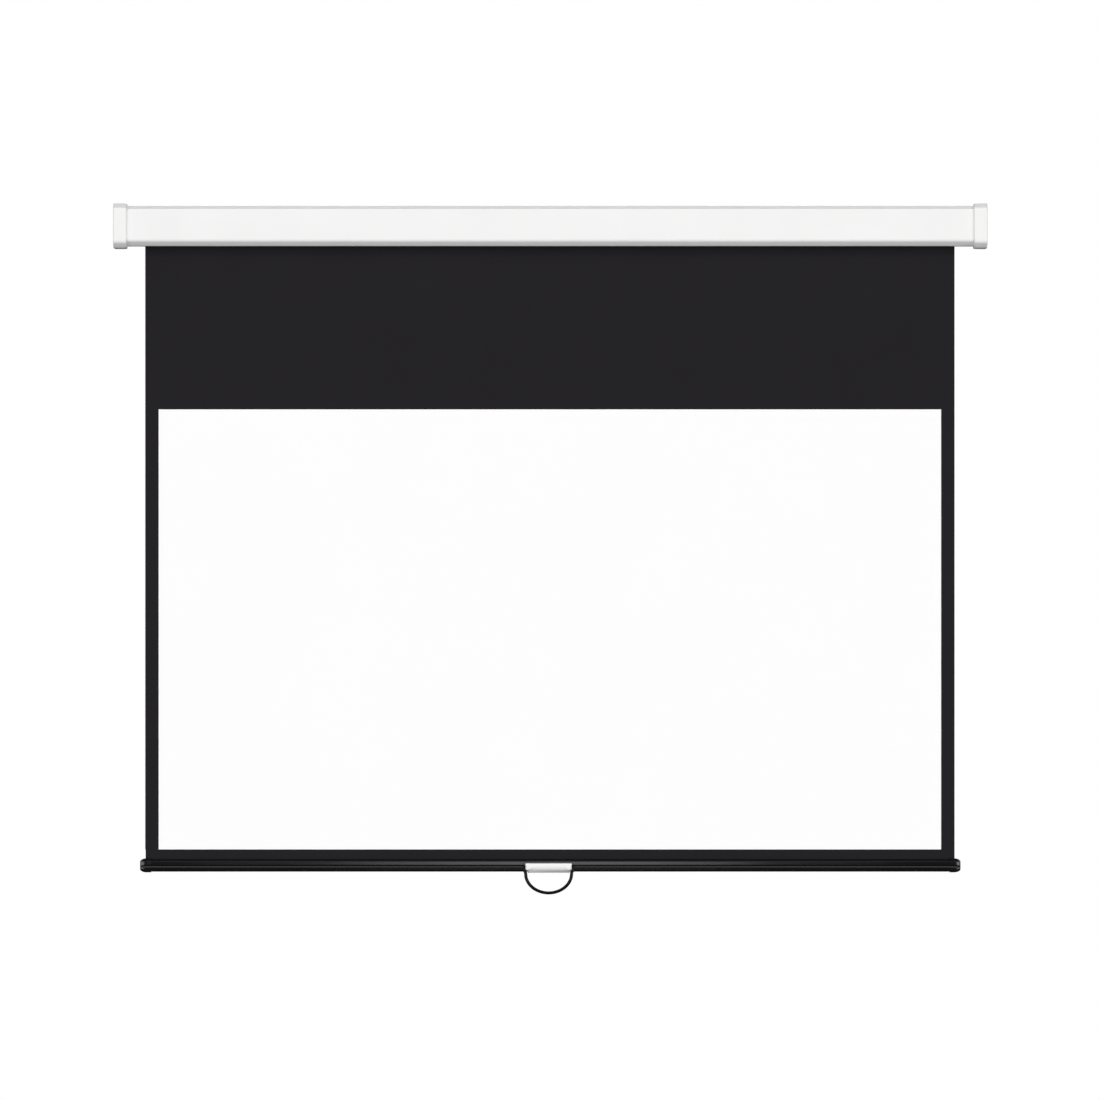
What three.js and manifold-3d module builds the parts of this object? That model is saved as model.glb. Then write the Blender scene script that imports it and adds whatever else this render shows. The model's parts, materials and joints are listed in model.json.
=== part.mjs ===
// Pull down projector screen, fully drawn down, as it hangs on a wall.
// Millimetres, +Z up, +X to the right seen from the front. The wall is the plane y = 0 and the
// front is towards -Y. The origin is the middle of the case's flat back.

import * as THREE from "three";
import { mergeVertices } from "three/addons/utils/BufferGeometryUtils.js";
import Module from "manifold-3d";

const wasm = await Module();
wasm.setup();

// Picture and cloth: a 16:9 picture of 84 inches across the corners
const pictureWidth = 1860;
const pictureHeight = 1046;
const sideBorder = 32;
const blackDrop = 387.5;
const bottomBorder = 23;
const clothThickness = 0.45;
const whiteThickness = 0.25;
const clothShift = -1;

// Case: a white extrusion, open in a slot underneath
const caseMargin = 48;
const caseDepth = 88;
const caseHeight = 95;
const caseWall = 1.8;
const caseBevelHeight = 8;
const caseBevelDepth = 10;
const caseBevelRadius = 2.4;
const caseFootHeight = 11.6;
const caseFootDepth = 18.6;
const caseFootRadius = 10;
const caseFootEdgeRadius = 3;
const caseBackRadius = 4;
const slotWidth = 16.5;
const slotLip = 6;
const portRadius = 4.2;
const portBore = 2.2;
const portSink = 0.75;

// End caps
const capLength = 31;
const capOverlap = 4;
const capStand = 6;
const capWall = 2.5;
const capEndWall = 3;
const capLipLength = 2.7;
const capChamferLength = 8;
const capChamferRise = 1.3;
const capEdgeRadius = 2.6;
const capSoftening = 2;
const capWindow = 16;
const capBossRadius = 5.6;
const capScrewInset = 18;
const capScrewDrop = 18.5;

// End brackets: bent steel plates that carry the roller and hang the case
const plate = 2;
const flangeReach = 21;
const rearFlangeInset = 8.5;
const topFlangeInset = 16;
const keyholeRadius = 5;
const keyholeNeck = 2.6;
const keyholeRise = 12;
const keyholeDrop = 4;
const hookHoleRadius = 4;
const bracketInset = 1.6;
const bracketCorner = 5;

// Screws
const screwShank = 1.9;
const screwHead = 3.8;
const screwHeadHeight = 2.2;
const screwRecess = 1.1;
const screwRecessWidth = 0.8;
const bracketScrewLength = 14;
const clipScrewShank = 1.4;
const clipScrewHead = 2.9;
const clipScrewHeadHeight = 1.5;
const clipScrewLength = 8;

// Roller
const rollerRise = 4;
const rollerRadius = 19;
const rollerWall = 1.5;
const tubeLeftGap = 8;
const tubeRightGap = 26;
const splineRadius = 1.2;
const grooveRadius = 1.6;
const grooveMouth = 1.5;
const grooveDepth = 1.9;
const grooveBoss = 3.3;
const wrapPitch = 0.9;
const wrapTurns = 2.25;

// Idler end of the roller
const idlerPinRadius = 4;
const idlerPinLength = 41;
const idlerHeadRadius = 6.5;
const idlerHead = 2;
const idlerPlugLength = 34;
const idlerFlange = 3;
const bushRadius = 7;
const bushLength = 24;
const plugClearance = 0.35;

// Spring end of the roller
const shaftRadius = 4;
const shaftLength = 395;
const journalRadius = 5;
const tongueWidth = 11;
const tongueThickness = 3.2;
const tongueLength = 20;
const collarRadius = 8;
const collarLength = 5;
const carrierFlange = 4;
const carrierSleeve = 24;
const ratchetRadius = 9.5;
const ratchetFloor = 6.8;
const ratchetThickness = 3;
const ratchetStandOff = 0.8;
const pawlPivotRadius = 14;
const pawlEye = 2.8;
const pawlNose = 1.1;
const pawlRestRadius = 11.2;
const pawlPinRadius = 1.3;
const pawlPinLength = 9.5;
const pawlPinFloor = 0.3;
const springWire = 2.4;
const springRadius = 11;
const springLength = 300;
const anchorLength = 26;
const noseRadius = 8.2;
const noseLength = 16;
const coneFlangeRadius = 12.5;
const coneFlange = 5;

// Bottom bar: a black extrusion that weighs the cloth down
const barMargin = 1;
const barHeight = 29.8;
const barDepth = 18;
const barNeckDepth = 13;
const barNeckHeight = 3.5;
const barWaistDepth = 14.4;
const barWaistHeight = 12.6;
const barCrestHeight = 8;
const barFoot = 7;
const hemRodRadius = 2.4;
const hemThickness = 1;
const hemLoop = 3.2;
const hemCavity = 3.8;
const hemCavityDrop = 8.6;
const hemSlit = 2.2;
const chamberWidth = 10;
const chamberHeight = 9;
const chamberRise = 3.2;
const chamberRadius = 2;
const hemSetBack = 1;

// End caps of the bottom bar
const barCapLength = 26;
const barCapReach = 12;
const barCapWall = 1.7;
const barCapRound = 7.5;
const barCapRoundIn = 6.5;

// Handle clip and bail
const handleShift = -4;
const clipBody = 99;
const clipWidth = 109.3;
const clipTop = 9.7;
const clipBelow = 2.7;
const clipRound = 12.5;
const clipEdge = 1.6;
const clipFront = 7.5;
const clipLipReach = 13;
const clipScrewSpacing = 60;
const earChamfer = 2.8;
const wireRadius = 3.5;
const pivotStand = 6.6;
const pivotDrop = 19.5;
const bailHalfWidth = 54.5;
const bailCorner = 4;
const bailBowDrop = 15.1;
const bailDepth = 45.3;
const bailJogDrop = 14.5;
const bailEndGap = 2;

// Clearances
const seatGap = 0.3;
const runGap = 0.35;
const overrun = 3;

// Counts, and shares of the sizes above
const arcSteps = 6;
const edgeSteps = 3;
const roundSides = 24;
const screwSides = 12;
const wireSides = 10;
const wrapSteps = 24;
const springCurls = 40;
const springSteps = 8;
const springSides = 5;
const notches = 4;
const pawlLeadShare = 0.092;
const notchRampShare = 0.14;
const pawlPlaceShares = [0.17, 0.67];

// Sizes worked out from the ones above
const clothWidth = pictureWidth + sideBorder * 2;
const clothHalf = clothWidth / 2;
const clothLeft = clothShift - clothHalf;
const clothRight = clothShift + clothHalf;
const caseLength = clothWidth + caseMargin * 2;
const caseHalf = caseLength / 2;
const capEnd = caseHalf - capOverlap + capLength;
const rollerY = -caseDepth / 2;
const rollerZ = rollerRise;
const wrapInner = rollerRadius + seatGap;
const wrapOuter = wrapInner + wrapPitch * wrapTurns + clothThickness;
const clothY = rollerY + wrapOuter - clothThickness / 2;
const pictureTop = -caseHeight / 2 - blackDrop;
const pictureBottom = pictureTop - pictureHeight;
const barTop = pictureBottom - bottomBorder;
const barLength = clothWidth + barMargin * 2;
const barHalf = barLength / 2;
const webInner = caseHalf + seatGap;
const webOuter = webInner + plate;

// Finishes
function finish(color, roughness, metalness) {
  return new THREE.MeshStandardMaterial({ color, roughness, metalness });
}

const whitePaint = finish(0xf4f4f3, 0.38, 0.0);
const whitePlastic = finish(0xf5f5f4, 0.42, 0.0);
const blackCloth = finish(0x242225, 0.9, 0.0);
const whiteCoating = finish(0xfdfdfd, 0.95, 0.0);
const blackPaint = finish(0x141316, 0.3, 0.1);
const blackPlastic = finish(0x0e0d10, 0.35, 0.0);
const bailPlastic = finish(0x09090a, 0.4, 0.0);
const handlePlastic = finish(0xf2f2f4, 0.3, 0.0);
const bareAluminium = finish(0xb9bcc0, 0.35, 0.9);
const zincSteel = finish(0xa9adb2, 0.4, 0.85);
const springSteel = finish(0x6c6e72, 0.35, 0.9);
const nylon = finish(0xe6e2d6, 0.6, 0.0);

// Solids: a closed geometry goes to manifold-3d and comes back after a join or a cut
function toSolid(geometry) {
  const bare = geometry.clone();
  bare.deleteAttribute("normal");
  bare.deleteAttribute("uv");
  const merged = mergeVertices(bare);
  return new wasm.Manifold(new wasm.Mesh({
    numProp: 3,
    vertProperties: new Float32Array(merged.attributes.position.array),
    triVerts: new Uint32Array(merged.index.array),
  }));
}

function toGeometry(solid) {
  const mesh = solid.getMesh();
  const geometry = new THREE.BufferGeometry();
  geometry.setAttribute("position", new THREE.BufferAttribute(mesh.vertProperties, 3));
  geometry.setIndex(new THREE.BufferAttribute(mesh.triVerts, 1));
  geometry.computeVertexNormals();
  return geometry;
}

function join(first, ...others) {
  return toGeometry(others.reduce((sum, piece) => sum.add(toSolid(piece)), toSolid(first)));
}

function cut(base, ...tools) {
  return toGeometry(tools.reduce((rest, tool) => rest.subtract(toSolid(tool)), toSolid(base)));
}

function common(first, second) {
  return toGeometry(toSolid(first).intersect(toSolid(second)));
}

// Stands a drawing of (y, z) points up in the YZ plane and gives it a length from x0 to x1
const drawingToYZ = new THREE.Matrix4().makeBasis(
  new THREE.Vector3(0, 1, 0),
  new THREE.Vector3(0, 0, 1),
  new THREE.Vector3(1, 0, 0),
);

function alongX(outline, x0, x1) {
  const shape = outline instanceof THREE.Shape ? outline : new THREE.Shape(outline);
  const options = { depth: x1 - x0, bevelEnabled: false, curveSegments: arcSteps };
  const geometry = new THREE.ExtrudeGeometry(shape, options);
  return geometry.applyMatrix4(drawingToYZ).translate(x0, 0, 0);
}

function boxBetween(low, high) {
  const size = high.map((value, axis) => value - low[axis]);
  const centre = high.map((value, axis) => (value + low[axis]) / 2);
  return new THREE.BoxGeometry(...size).translate(...centre);
}

// A round bar along X, with its axis at (y, z)
function rodX(radius, x0, x1, y = 0, z = 0, sides = roundSides) {
  const rod = new THREE.CylinderGeometry(radius, radius, x1 - x0, sides);
  return rod.rotateZ(-Math.PI / 2).translate((x0 + x1) / 2, y, z);
}

// A turned piece on the X axis from a list of [x, radius] points, closed on the axis at both ends
function turnedX(profile, sides = roundSides) {
  const points = profile.map(([x, radius]) => new THREE.Vector2(radius, x));
  const closed = [new THREE.Vector2(0, profile[0][0]), ...points, new THREE.Vector2(0, profile.at(-1)[0])];
  return new THREE.LatheGeometry(closed, sides).rotateZ(-Math.PI / 2);
}

// Rounds the corners of a list of [y, z, radius] points
function filleted(corners, steps = arcSteps) {
  const points = [];
  corners.forEach(([y, z, radius = 0], i) => {
    const corner = new THREE.Vector2(y, z);
    if (radius <= 0) {
      points.push(corner);
      return;
    }
    const before = new THREE.Vector2(...corners.at(i - 1)).sub(corner).normalize();
    const after = new THREE.Vector2(...corners[(i + 1) % corners.length]).sub(corner).normalize();
    const half = Math.acos(THREE.MathUtils.clamp(before.dot(after), -1, 1)) / 2;
    const middle = before.clone().add(after).normalize();
    const centre = corner.clone().addScaledVector(middle, radius / Math.sin(half));
    const from = corner.clone().addScaledVector(before, radius / Math.tan(half)).sub(centre);
    const to = corner.clone().addScaledVector(after, radius / Math.tan(half)).sub(centre);
    const turn = Math.atan2(from.cross(to), from.dot(to));
    for (let k = 0; k <= steps; k++) {
      const spoke = from.clone().rotateAround(new THREE.Vector2(), (turn * k) / steps);
      points.push(centre.clone().add(spoke));
    }
  });
  return points;
}

// Moves each side of an outline of [y, z, radius] corners outwards, or inwards where the distance is
// negative. The corners run anticlockwise
function grown(corners, distance) {
  return corners.map(([y, z, radius], i) => {
    const [beforeY, beforeZ] = corners.at(i - 1);
    const [afterY, afterZ] = corners[(i + 1) % corners.length];
    const before = new THREE.Vector2(z - beforeZ, beforeY - y).normalize();
    const after = new THREE.Vector2(afterZ - z, y - afterY).normalize();
    const shift = before.clone().add(after).multiplyScalar(distance / (1 + before.dot(after)));
    return [y + shift.x, z + shift.y, Math.max(radius + distance, 0)];
  });
}

// Joins rings of 3-D points, each with as many points, into a closed skin
function loft(rings, endFaces) {
  const count = rings[0].length;
  const vertices = rings.flat().flatMap((point) => point.toArray());
  const index = [];
  for (let r = 0; r + 1 < rings.length; r++) {
    for (let k = 0; k < count; k++) {
      const a = r * count + k;
      const b = r * count + ((k + 1) % count);
      index.push(a, b, b + count, a, b + count, a + count);
    }
  }
  const last = (rings.length - 1) * count;
  for (const [a, b, c] of endFaces) {
    index.push(c, b, a, last + a, last + b, last + c);
  }
  const geometry = new THREE.BufferGeometry();
  geometry.setAttribute("position", new THREE.Float32BufferAttribute(vertices, 3));
  geometry.setIndex(index);
  geometry.computeVertexNormals();
  return geometry;
}

// A skin through outlines of (y, z) points that stand at the given x places
function loftX(stations) {
  const flat = THREE.ShapeUtils.isClockWise(stations[0].outline);
  const outlines = stations.map(({ outline }) => (flat ? [...outline].reverse() : outline));
  const faces = THREE.ShapeUtils.triangulateShape([...outlines[0]], []);
  const rings = stations.map(({ x }, i) => outlines[i].map((p) => new THREE.Vector3(x, p.x, p.y)));
  return loft(rings, faces);
}

// A round wire along a line of points, with flat ends
function wireAlong(line, radius, sides) {
  const tangents = line.map((_, i) => {
    const next = line[Math.min(i + 1, line.length - 1)];
    return next.clone().sub(line[Math.max(i - 1, 0)]).normalize();
  });
  const across = new THREE.Vector3(0, 1, 0);
  const rings = line.map((point, i) => {
    across.addScaledVector(tangents[i], -across.dot(tangents[i])).normalize();
    const other = tangents[i].clone().cross(across);
    return Array.from({ length: sides }, (_, k) => {
      const angle = (2 * Math.PI * k) / sides;
      const spoke = across.clone().multiplyScalar(radius * Math.cos(angle));
      return point.clone().add(spoke).addScaledVector(other, radius * Math.sin(angle));
    });
  });
  const fan = Array.from({ length: sides - 2 }, (_, k) => [0, k + 1, k + 2]);
  return loft(rings, fan);
}

function mirroredX(geometry) {
  const copy = geometry.index ? geometry.clone() : mergeVertices(geometry.clone());
  copy.scale(-1, 1, 1);
  const order = copy.index.array;
  for (let i = 0; i < order.length; i += 3) {
    [order[i], order[i + 1]] = [order[i + 1], order[i]];
  }
  copy.computeVertexNormals();
  return copy;
}

function add(group, name, geometry, material) {
  const mesh = new THREE.Mesh(geometry, material);
  mesh.name = name;
  group.add(mesh);
  return mesh;
}

function sideName(side) {
  return side < 0 ? "left" : "right";
}

function onSide(side, geometry) {
  return side < 0 ? mirroredX(geometry) : geometry;
}

// The case's outside, with a bevel along its top front edge and a deeper one along its lower front edge
const caseCorners = [
  [0, -caseHeight / 2, caseBackRadius],
  [0, caseHeight / 2, caseBackRadius],
  [-caseDepth + caseBevelDepth, caseHeight / 2, caseBevelRadius],
  [-caseDepth, caseHeight / 2 - caseBevelHeight, caseBevelRadius],
  [-caseDepth, -caseHeight / 2 + caseFootHeight, caseFootRadius],
  [-caseDepth + caseFootDepth, -caseHeight / 2, caseFootEdgeRadius],
];

// Places where screws hold the brackets and the caps, as [y, z]
const portCentres = grown(caseCorners, portSink - portRadius - caseWall);
const ports = { upper: portCentres[2].slice(0, 2), lower: portCentres[0].slice(0, 2) };
const capScrewY = -caseDepth + capScrewInset;
const capScrewZ = caseHeight / 2 - capScrewDrop;
const capScrews = { upper: [capScrewY, capScrewZ], lower: [capScrewY, -capScrewZ] };

// Case shell
function caseOutline() {
  const low = -caseHeight / 2;
  const slotFront = clothY - slotWidth / 2;
  const slotBack = clothY + slotWidth / 2;
  return filleted([
    [slotBack, low],
    ...caseCorners,
    [slotFront, low],
    [slotFront, low + slotLip],
    [slotFront - caseWall, low + slotLip],
    [slotFront - caseWall, low + caseWall],
    ...grown(caseCorners, -caseWall).reverse(),
    [slotBack + caseWall, low + caseWall],
    [slotBack + caseWall, low + slotLip],
    [slotBack, low + slotLip],
  ]);
}

function caseShell() {
  let shell = alongX(caseOutline(), -caseHalf, caseHalf);
  for (const [y, z] of Object.values(ports)) {
    shell = join(shell, rodX(portRadius, -caseHalf, caseHalf, y, z, screwSides));
  }
  const bores = Object.values(ports).map(([y, z]) => (
    rodX(portBore, -caseHalf - overrun, caseHalf + overrun, y, z, screwSides)
  ));
  return cut(shell, ...bores);
}

// End cap, drawn at the right end. Its outline follows the case's front, with softer corners, and is
// open to the wall, at y = back
function capOutline(inset, back = 0) {
  const top = caseHeight / 2 + capStand - inset;
  const front = grown(caseCorners, capStand - inset).slice(2);
  return filleted([
    [back, -top],
    [back, top],
    ...front.map(([y, z, radius]) => [y, z, radius - capStand + capSoftening]),
  ]);
}

function endCap() {
  const inner = caseHalf - capOverlap;
  const stations = [
    { x: inner, outline: capOutline(capChamferRise) },
    { x: inner + capChamferLength, outline: capOutline(0) },
  ];
  for (let k = 0; k <= edgeSteps; k++) {
    const angle = (Math.PI / 2) * (k / edgeSteps);
    const x = capEnd - capEdgeRadius * (1 - Math.sin(angle));
    stations.push({ x, outline: capOutline(capEdgeRadius * (1 - Math.cos(angle))) });
  }
  const pocket = alongX(capOutline(capWall, overrun), inner + capLipLength, capEnd - capEndWall);
  const passage = alongX(
    filleted(grown(caseCorners, seatGap)),
    inner - overrun,
    inner + capLipLength + overrun,
  );
  const window = boxBetween(
    [webOuter, rollerY - capWindow, caseHeight / 2],
    [capEnd - capEndWall - overrun, rollerY + capWindow, caseHeight / 2 + capStand + overrun],
  );
  let cap = cut(loftX(stations), pocket, passage, window);
  for (const [y, z] of Object.values(capScrews)) {
    const boss = rodX(capBossRadius, webOuter + seatGap, capEnd - capEndWall / 2, y, z);
    const bore = rodX(portBore, inner, capEnd + overrun, y, z, screwSides);
    const sink = rodX(screwHead + seatGap, capEnd - screwHeadHeight - seatGap, capEnd + overrun, y, z);
    cap = cut(join(cap, boss), bore, sink);
  }
  return cap;
}

// End bracket, drawn at the right end, without the roller's own hole
function bracketPlate() {
  const top = caseHeight / 2;
  const front = grown(caseCorners, -bracketInset).slice(3);
  const web = alongX(filleted([
    [0, -top + bracketInset, bracketCorner],
    [0, top],
    [-caseDepth + caseBevelDepth, top],
    ...front.map(([y, z]) => [y, z, bracketCorner]),
  ]), webInner, webOuter);
  const reach = webOuter + flangeReach;
  const rear = boxBetween(
    [webInner, -plate, -top + rearFlangeInset],
    [reach, 0, top - rearFlangeInset],
  );
  const ceiling = boxBetween(
    [webInner, -caseDepth + topFlangeInset, top - plate],
    [reach, -topFlangeInset, top],
  );
  const holeX = webOuter + flangeReach / 2;
  const through = { depth: plate + overrun * 2, bevelEnabled: false, curveSegments: arcSteps * 2 };
  const eye = new THREE.Shape().absarc(0, -keyholeDrop, keyholeRadius, 0, 2 * Math.PI);
  const neck = new THREE.Shape();
  neck.absarc(0, keyholeRise - keyholeDrop, keyholeNeck, 0, Math.PI);
  neck.lineTo(-keyholeNeck, -keyholeDrop);
  neck.lineTo(keyholeNeck, -keyholeDrop);
  const holes = [eye, neck].map((shape) => (
    new THREE.ExtrudeGeometry(shape, through).rotateX(Math.PI / 2).translate(holeX, overrun, 0)
  ));
  const hook = new THREE.CylinderGeometry(hookHoleRadius, hookHoleRadius, plate + overrun, roundSides);
  hook.rotateX(Math.PI / 2).translate(holeX, rollerY, top - plate / 2);
  const screws = [...Object.values(ports), ...Object.values(capScrews)].map(([y, z]) => (
    rodX(portBore, webInner - overrun, webOuter + overrun, y, z, screwSides)
  ));
  return cut(join(web, rear, ceiling), ...holes, hook, ...screws);
}

function idlerBracket() {
  const hole = rodX(idlerPinRadius + seatGap, webInner - overrun, webOuter + overrun, rollerY, rollerZ);
  return cut(bracketPlate(), hole);
}

function springBracket() {
  const slot = boxBetween(
    [webInner - overrun, rollerY - tongueThickness / 2 - seatGap, rollerZ - tongueWidth / 2 - seatGap],
    [webOuter + overrun, rollerY + tongueThickness / 2 + seatGap, rollerZ + tongueWidth / 2 + seatGap],
  );
  return cut(bracketPlate(), slot);
}

// Pan head screw along X: the head's seat is at x = 0 and the shank runs to -X
function panScrew(length) {
  const body = turnedX([
    [-length, screwShank],
    [0, screwShank],
    [0, screwHead],
    [screwHeadHeight / 2, screwHead],
    [screwHeadHeight, screwHead - screwHeadHeight / 2],
  ], screwSides);
  const half = screwRecessWidth / 2;
  const reach = screwHead / 2;
  const from = screwHeadHeight - screwRecess;
  const bladeY = boxBetween([from, -reach, -half], [screwHeadHeight + overrun, reach, half]);
  const bladeZ = boxBetween([from, -half, -reach], [screwHeadHeight + overrun, half, reach]);
  return cut(body, bladeY, bladeZ);
}

function buildCase(group) {
  add(group, "case_shell", caseShell(), whitePaint);
  const capScrewSeat = capEnd - screwHeadHeight - seatGap / 2;
  for (const side of [-1, 1]) {
    const end = sideName(side);
    add(group, `end_cap_${end}`, onSide(side, endCap()), whitePlastic);
    const bracket = side < 0 ? idlerBracket() : springBracket();
    add(group, `end_bracket_${end}`, onSide(side, bracket), zincSteel);
    for (const [place, [y, z]] of Object.entries(ports)) {
      const screw = panScrew(bracketScrewLength).translate(webOuter + seatGap / 2, y, z);
      add(group, `bracket_screw_${end}_${place}`, onSide(side, screw), zincSteel);
    }
    for (const [place, [y, z]] of Object.entries(capScrews)) {
      const screw = panScrew(capScrewSeat - webInner).translate(capScrewSeat, y, z);
      add(group, `cap_screw_${end}_${place}`, onSide(side, screw), zincSteel);
    }
  }
}

// Roller pieces, drawn about the roller's own axis
const tubeLeft = -caseHalf + tubeLeftGap;
const tubeRight = caseHalf - tubeRightGap;
const plugRadius = rollerRadius - rollerWall - plugClearance;
const grooveCentre = rollerRadius - grooveDepth;

function keyCut(x0, x1) {
  return rodX(grooveBoss + plugClearance, x0 - overrun, x1 + overrun, 0, grooveCentre);
}

function rollerTube() {
  const ring = cut(
    rodX(rollerRadius, tubeLeft, tubeRight, 0, 0, roundSides * 2),
    rodX(rollerRadius - rollerWall, tubeLeft - overrun, tubeRight + overrun, 0, 0, roundSides * 2),
  );
  const boss = common(
    rodX(grooveBoss, tubeLeft, tubeRight, 0, grooveCentre),
    rodX(rollerRadius - rollerWall / 2, tubeLeft, tubeRight, 0, 0, roundSides * 2),
  );
  const groove = rodX(grooveRadius, tubeLeft - overrun, tubeRight + overrun, 0, grooveCentre, screwSides);
  const mouth = boxBetween(
    [tubeLeft - overrun, -grooveMouth / 2, grooveCentre],
    [tubeRight + overrun, grooveMouth / 2, rollerRadius + overrun],
  );
  return cut(join(ring, boss), groove, mouth);
}

// The cloth that stays on the roller, wound from the groove at the top out to the back
function clothWraps() {
  const steps = Math.round(wrapSteps * wrapTurns);
  const edge = (depth) => Array.from({ length: steps + 1 }, (_, k) => {
    const angle = (2 * Math.PI * wrapTurns * k) / steps;
    const radius = wrapOuter - depth - wrapPitch * wrapTurns * (k / steps);
    return new THREE.Vector2(radius * Math.cos(angle), radius * Math.sin(angle));
  });
  const outline = [...edge(0), ...edge(clothThickness).reverse()];
  return alongX(outline, clothLeft, clothRight);
}

function idlerPlug() {
  const inner = tubeLeft + idlerPlugLength;
  const flangeOut = tubeLeft - seatGap - idlerFlange;
  const body = turnedX([
    [flangeOut, rollerRadius - rollerWall / 2],
    [tubeLeft - seatGap, rollerRadius - rollerWall / 2],
    [tubeLeft - seatGap, plugRadius],
    [inner, plugRadius],
  ]);
  const bore = rodX(bushRadius + seatGap, flangeOut - overrun, inner + overrun);
  return cut(body, bore, keyCut(tubeLeft, inner));
}

function idlerBush() {
  const from = tubeLeft - seatGap - idlerFlange;
  const ring = rodX(bushRadius, from, from + bushLength);
  return cut(ring, rodX(idlerPinRadius + runGap, from - overrun, from + bushLength + overrun));
}

function idlerPin() {
  return turnedX([
    [-webOuter - seatGap - idlerHead, idlerHeadRadius],
    [-webOuter - seatGap, idlerHeadRadius],
    [-webOuter - seatGap, idlerPinRadius],
    [-webOuter - seatGap + idlerPinLength, idlerPinRadius],
  ]);
}

// Spring end, measured in from the tube's right end
const carrierOut = tubeRight + seatGap + carrierFlange;
const ratchetX = carrierOut + ratchetStandOff;
const collarX = ratchetX + ratchetThickness + seatGap;
const coneX = tubeRight - carrierSleeve - seatGap;
const springRight = coneX - coneFlange - seatGap;
const springLeft = springRight - springLength;

function spearShaft() {
  const shaft = turnedX([
    [collarX + collarLength - shaftLength, shaftRadius],
    [coneX + seatGap, shaftRadius],
    [coneX + seatGap, journalRadius],
    [collarX, journalRadius],
    [collarX, collarRadius],
    [collarX + collarLength, collarRadius],
  ]);
  const tongue = boxBetween(
    [collarX + collarLength / 2, -tongueThickness / 2, -tongueWidth / 2],
    [collarX + collarLength + tongueLength, tongueThickness / 2, tongueWidth / 2],
  );
  return join(shaft, tongue);
}

function pawlCarrier() {
  const inner = tubeRight - carrierSleeve;
  const body = turnedX([
    [inner, plugRadius],
    [tubeRight + seatGap, plugRadius],
    [tubeRight + seatGap, rollerRadius - rollerWall / 2],
    [carrierOut, rollerRadius - rollerWall / 2],
  ]);
  const bore = rodX(journalRadius + runGap, inner - overrun, carrierOut + overrun);
  const pins = pawlPlaces().map(({ y, z }) => (
    rodX(pawlPinRadius + seatGap, tubeRight, carrierOut + overrun, y, z, screwSides)
  ));
  return cut(body, bore, keyCut(inner, tubeRight - overrun), ...pins);
}

// Pawls: each pivots on the carrier, clear of the ratchet at rest, and drops into a notch
function pawlPlaces() {
  return pawlPlaceShares.map((share) => {
    const angle = 2 * Math.PI * share;
    return { angle, y: pawlPivotRadius * Math.cos(angle), z: pawlPivotRadius * Math.sin(angle) };
  });
}

const pawlLead = 2 * Math.PI * pawlLeadShare;
const pawlReach = Math.hypot(
  pawlRestRadius * Math.cos(pawlLead) - pawlPivotRadius,
  pawlRestRadius * Math.sin(pawlLead),
);

// How far round from its pivot a pawl's tip lies when it has swung in to this radius
function tipLead(radius) {
  const squares = radius ** 2 + pawlPivotRadius ** 2 - pawlReach ** 2;
  return Math.acos(squares / (2 * radius * pawlPivotRadius));
}

function pawl() {
  const tipY = pawlRestRadius * Math.cos(pawlLead) - pawlPivotRadius;
  const tipZ = pawlRestRadius * Math.sin(pawlLead);
  const lean = Math.asin((pawlEye - pawlNose) / pawlReach);
  const along = Math.atan2(tipZ, tipY);
  const shape = new THREE.Shape();
  shape.absarc(0, 0, pawlEye, along + Math.PI / 2 - lean, along - Math.PI / 2 + lean + 2 * Math.PI);
  shape.absarc(tipY, tipZ, pawlNose, along - Math.PI / 2 + lean, along + Math.PI / 2 - lean);
  const lever = alongX(shape, ratchetX, ratchetX + ratchetThickness);
  const eye = rodX(pawlPinRadius + runGap, ratchetX - overrun, collarX + overrun, 0, 0, screwSides);
  return cut(lever, eye);
}

function ratchetWheel() {
  const disc = rodX(ratchetRadius, ratchetX, ratchetX + ratchetThickness, 0, 0, roundSides * 2);
  const bore = rodX(journalRadius + seatGap, ratchetX - overrun, collarX + overrun);
  const stop = tipLead(ratchetRadius) + Math.asin((pawlNose + runGap) / ratchetRadius);
  const ramp = stop - 2 * Math.PI * notchRampShare;
  const polar = (radius, angle) => new THREE.Vector2(radius * Math.cos(angle), radius * Math.sin(angle));
  const cuts = Array.from({ length: notches }, (_, k) => {
    const turn = 2 * Math.PI * (pawlPlaceShares[0] + k / notches);
    const outer = ratchetRadius + overrun;
    return alongX([
      polar(ratchetFloor, stop + turn),
      polar(outer, stop + turn),
      polar(outer, ramp + turn),
      polar(ratchetRadius, ramp + turn),
    ], ratchetX - overrun, collarX + overrun);
  });
  return cut(disc, bore, ...cuts);
}

// Torsion spring: one wire, wound about the shaft, with a straight end at each face
function springLine() {
  const from = springLeft + springWire;
  const to = springRight - springWire;
  const steps = springCurls * springSteps;
  const line = [new THREE.Vector3(springLeft, springRadius, 0)];
  for (let k = 0; k <= steps; k++) {
    const angle = (2 * Math.PI * k) / springSteps;
    const x = from + ((to - from) * k) / steps;
    line.push(new THREE.Vector3(x, springRadius * Math.cos(angle), springRadius * Math.sin(angle)));
  }
  line.push(new THREE.Vector3(springRight, springRadius, 0));
  return line;
}

function leastSpringGap(line) {
  let least = Infinity;
  for (let i = 0; i < line.length; i++) {
    for (let j = i + springSteps / 2; j < line.length; j++) {
      least = Math.min(least, line[i].distanceTo(line[j]) - springWire);
    }
  }
  return least;
}

function springAnchor() {
  const left = springLeft - seatGap - anchorLength;
  const body = turnedX([
    [left, plugRadius],
    [springLeft - seatGap, plugRadius],
    [springLeft - seatGap, noseRadius],
    [springLeft - seatGap + noseLength, noseRadius],
  ]);
  const bore = rodX(shaftRadius + runGap, left - overrun, springLeft + noseLength + overrun);
  return cut(body, bore, keyCut(left, springLeft - seatGap - overrun));
}

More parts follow.
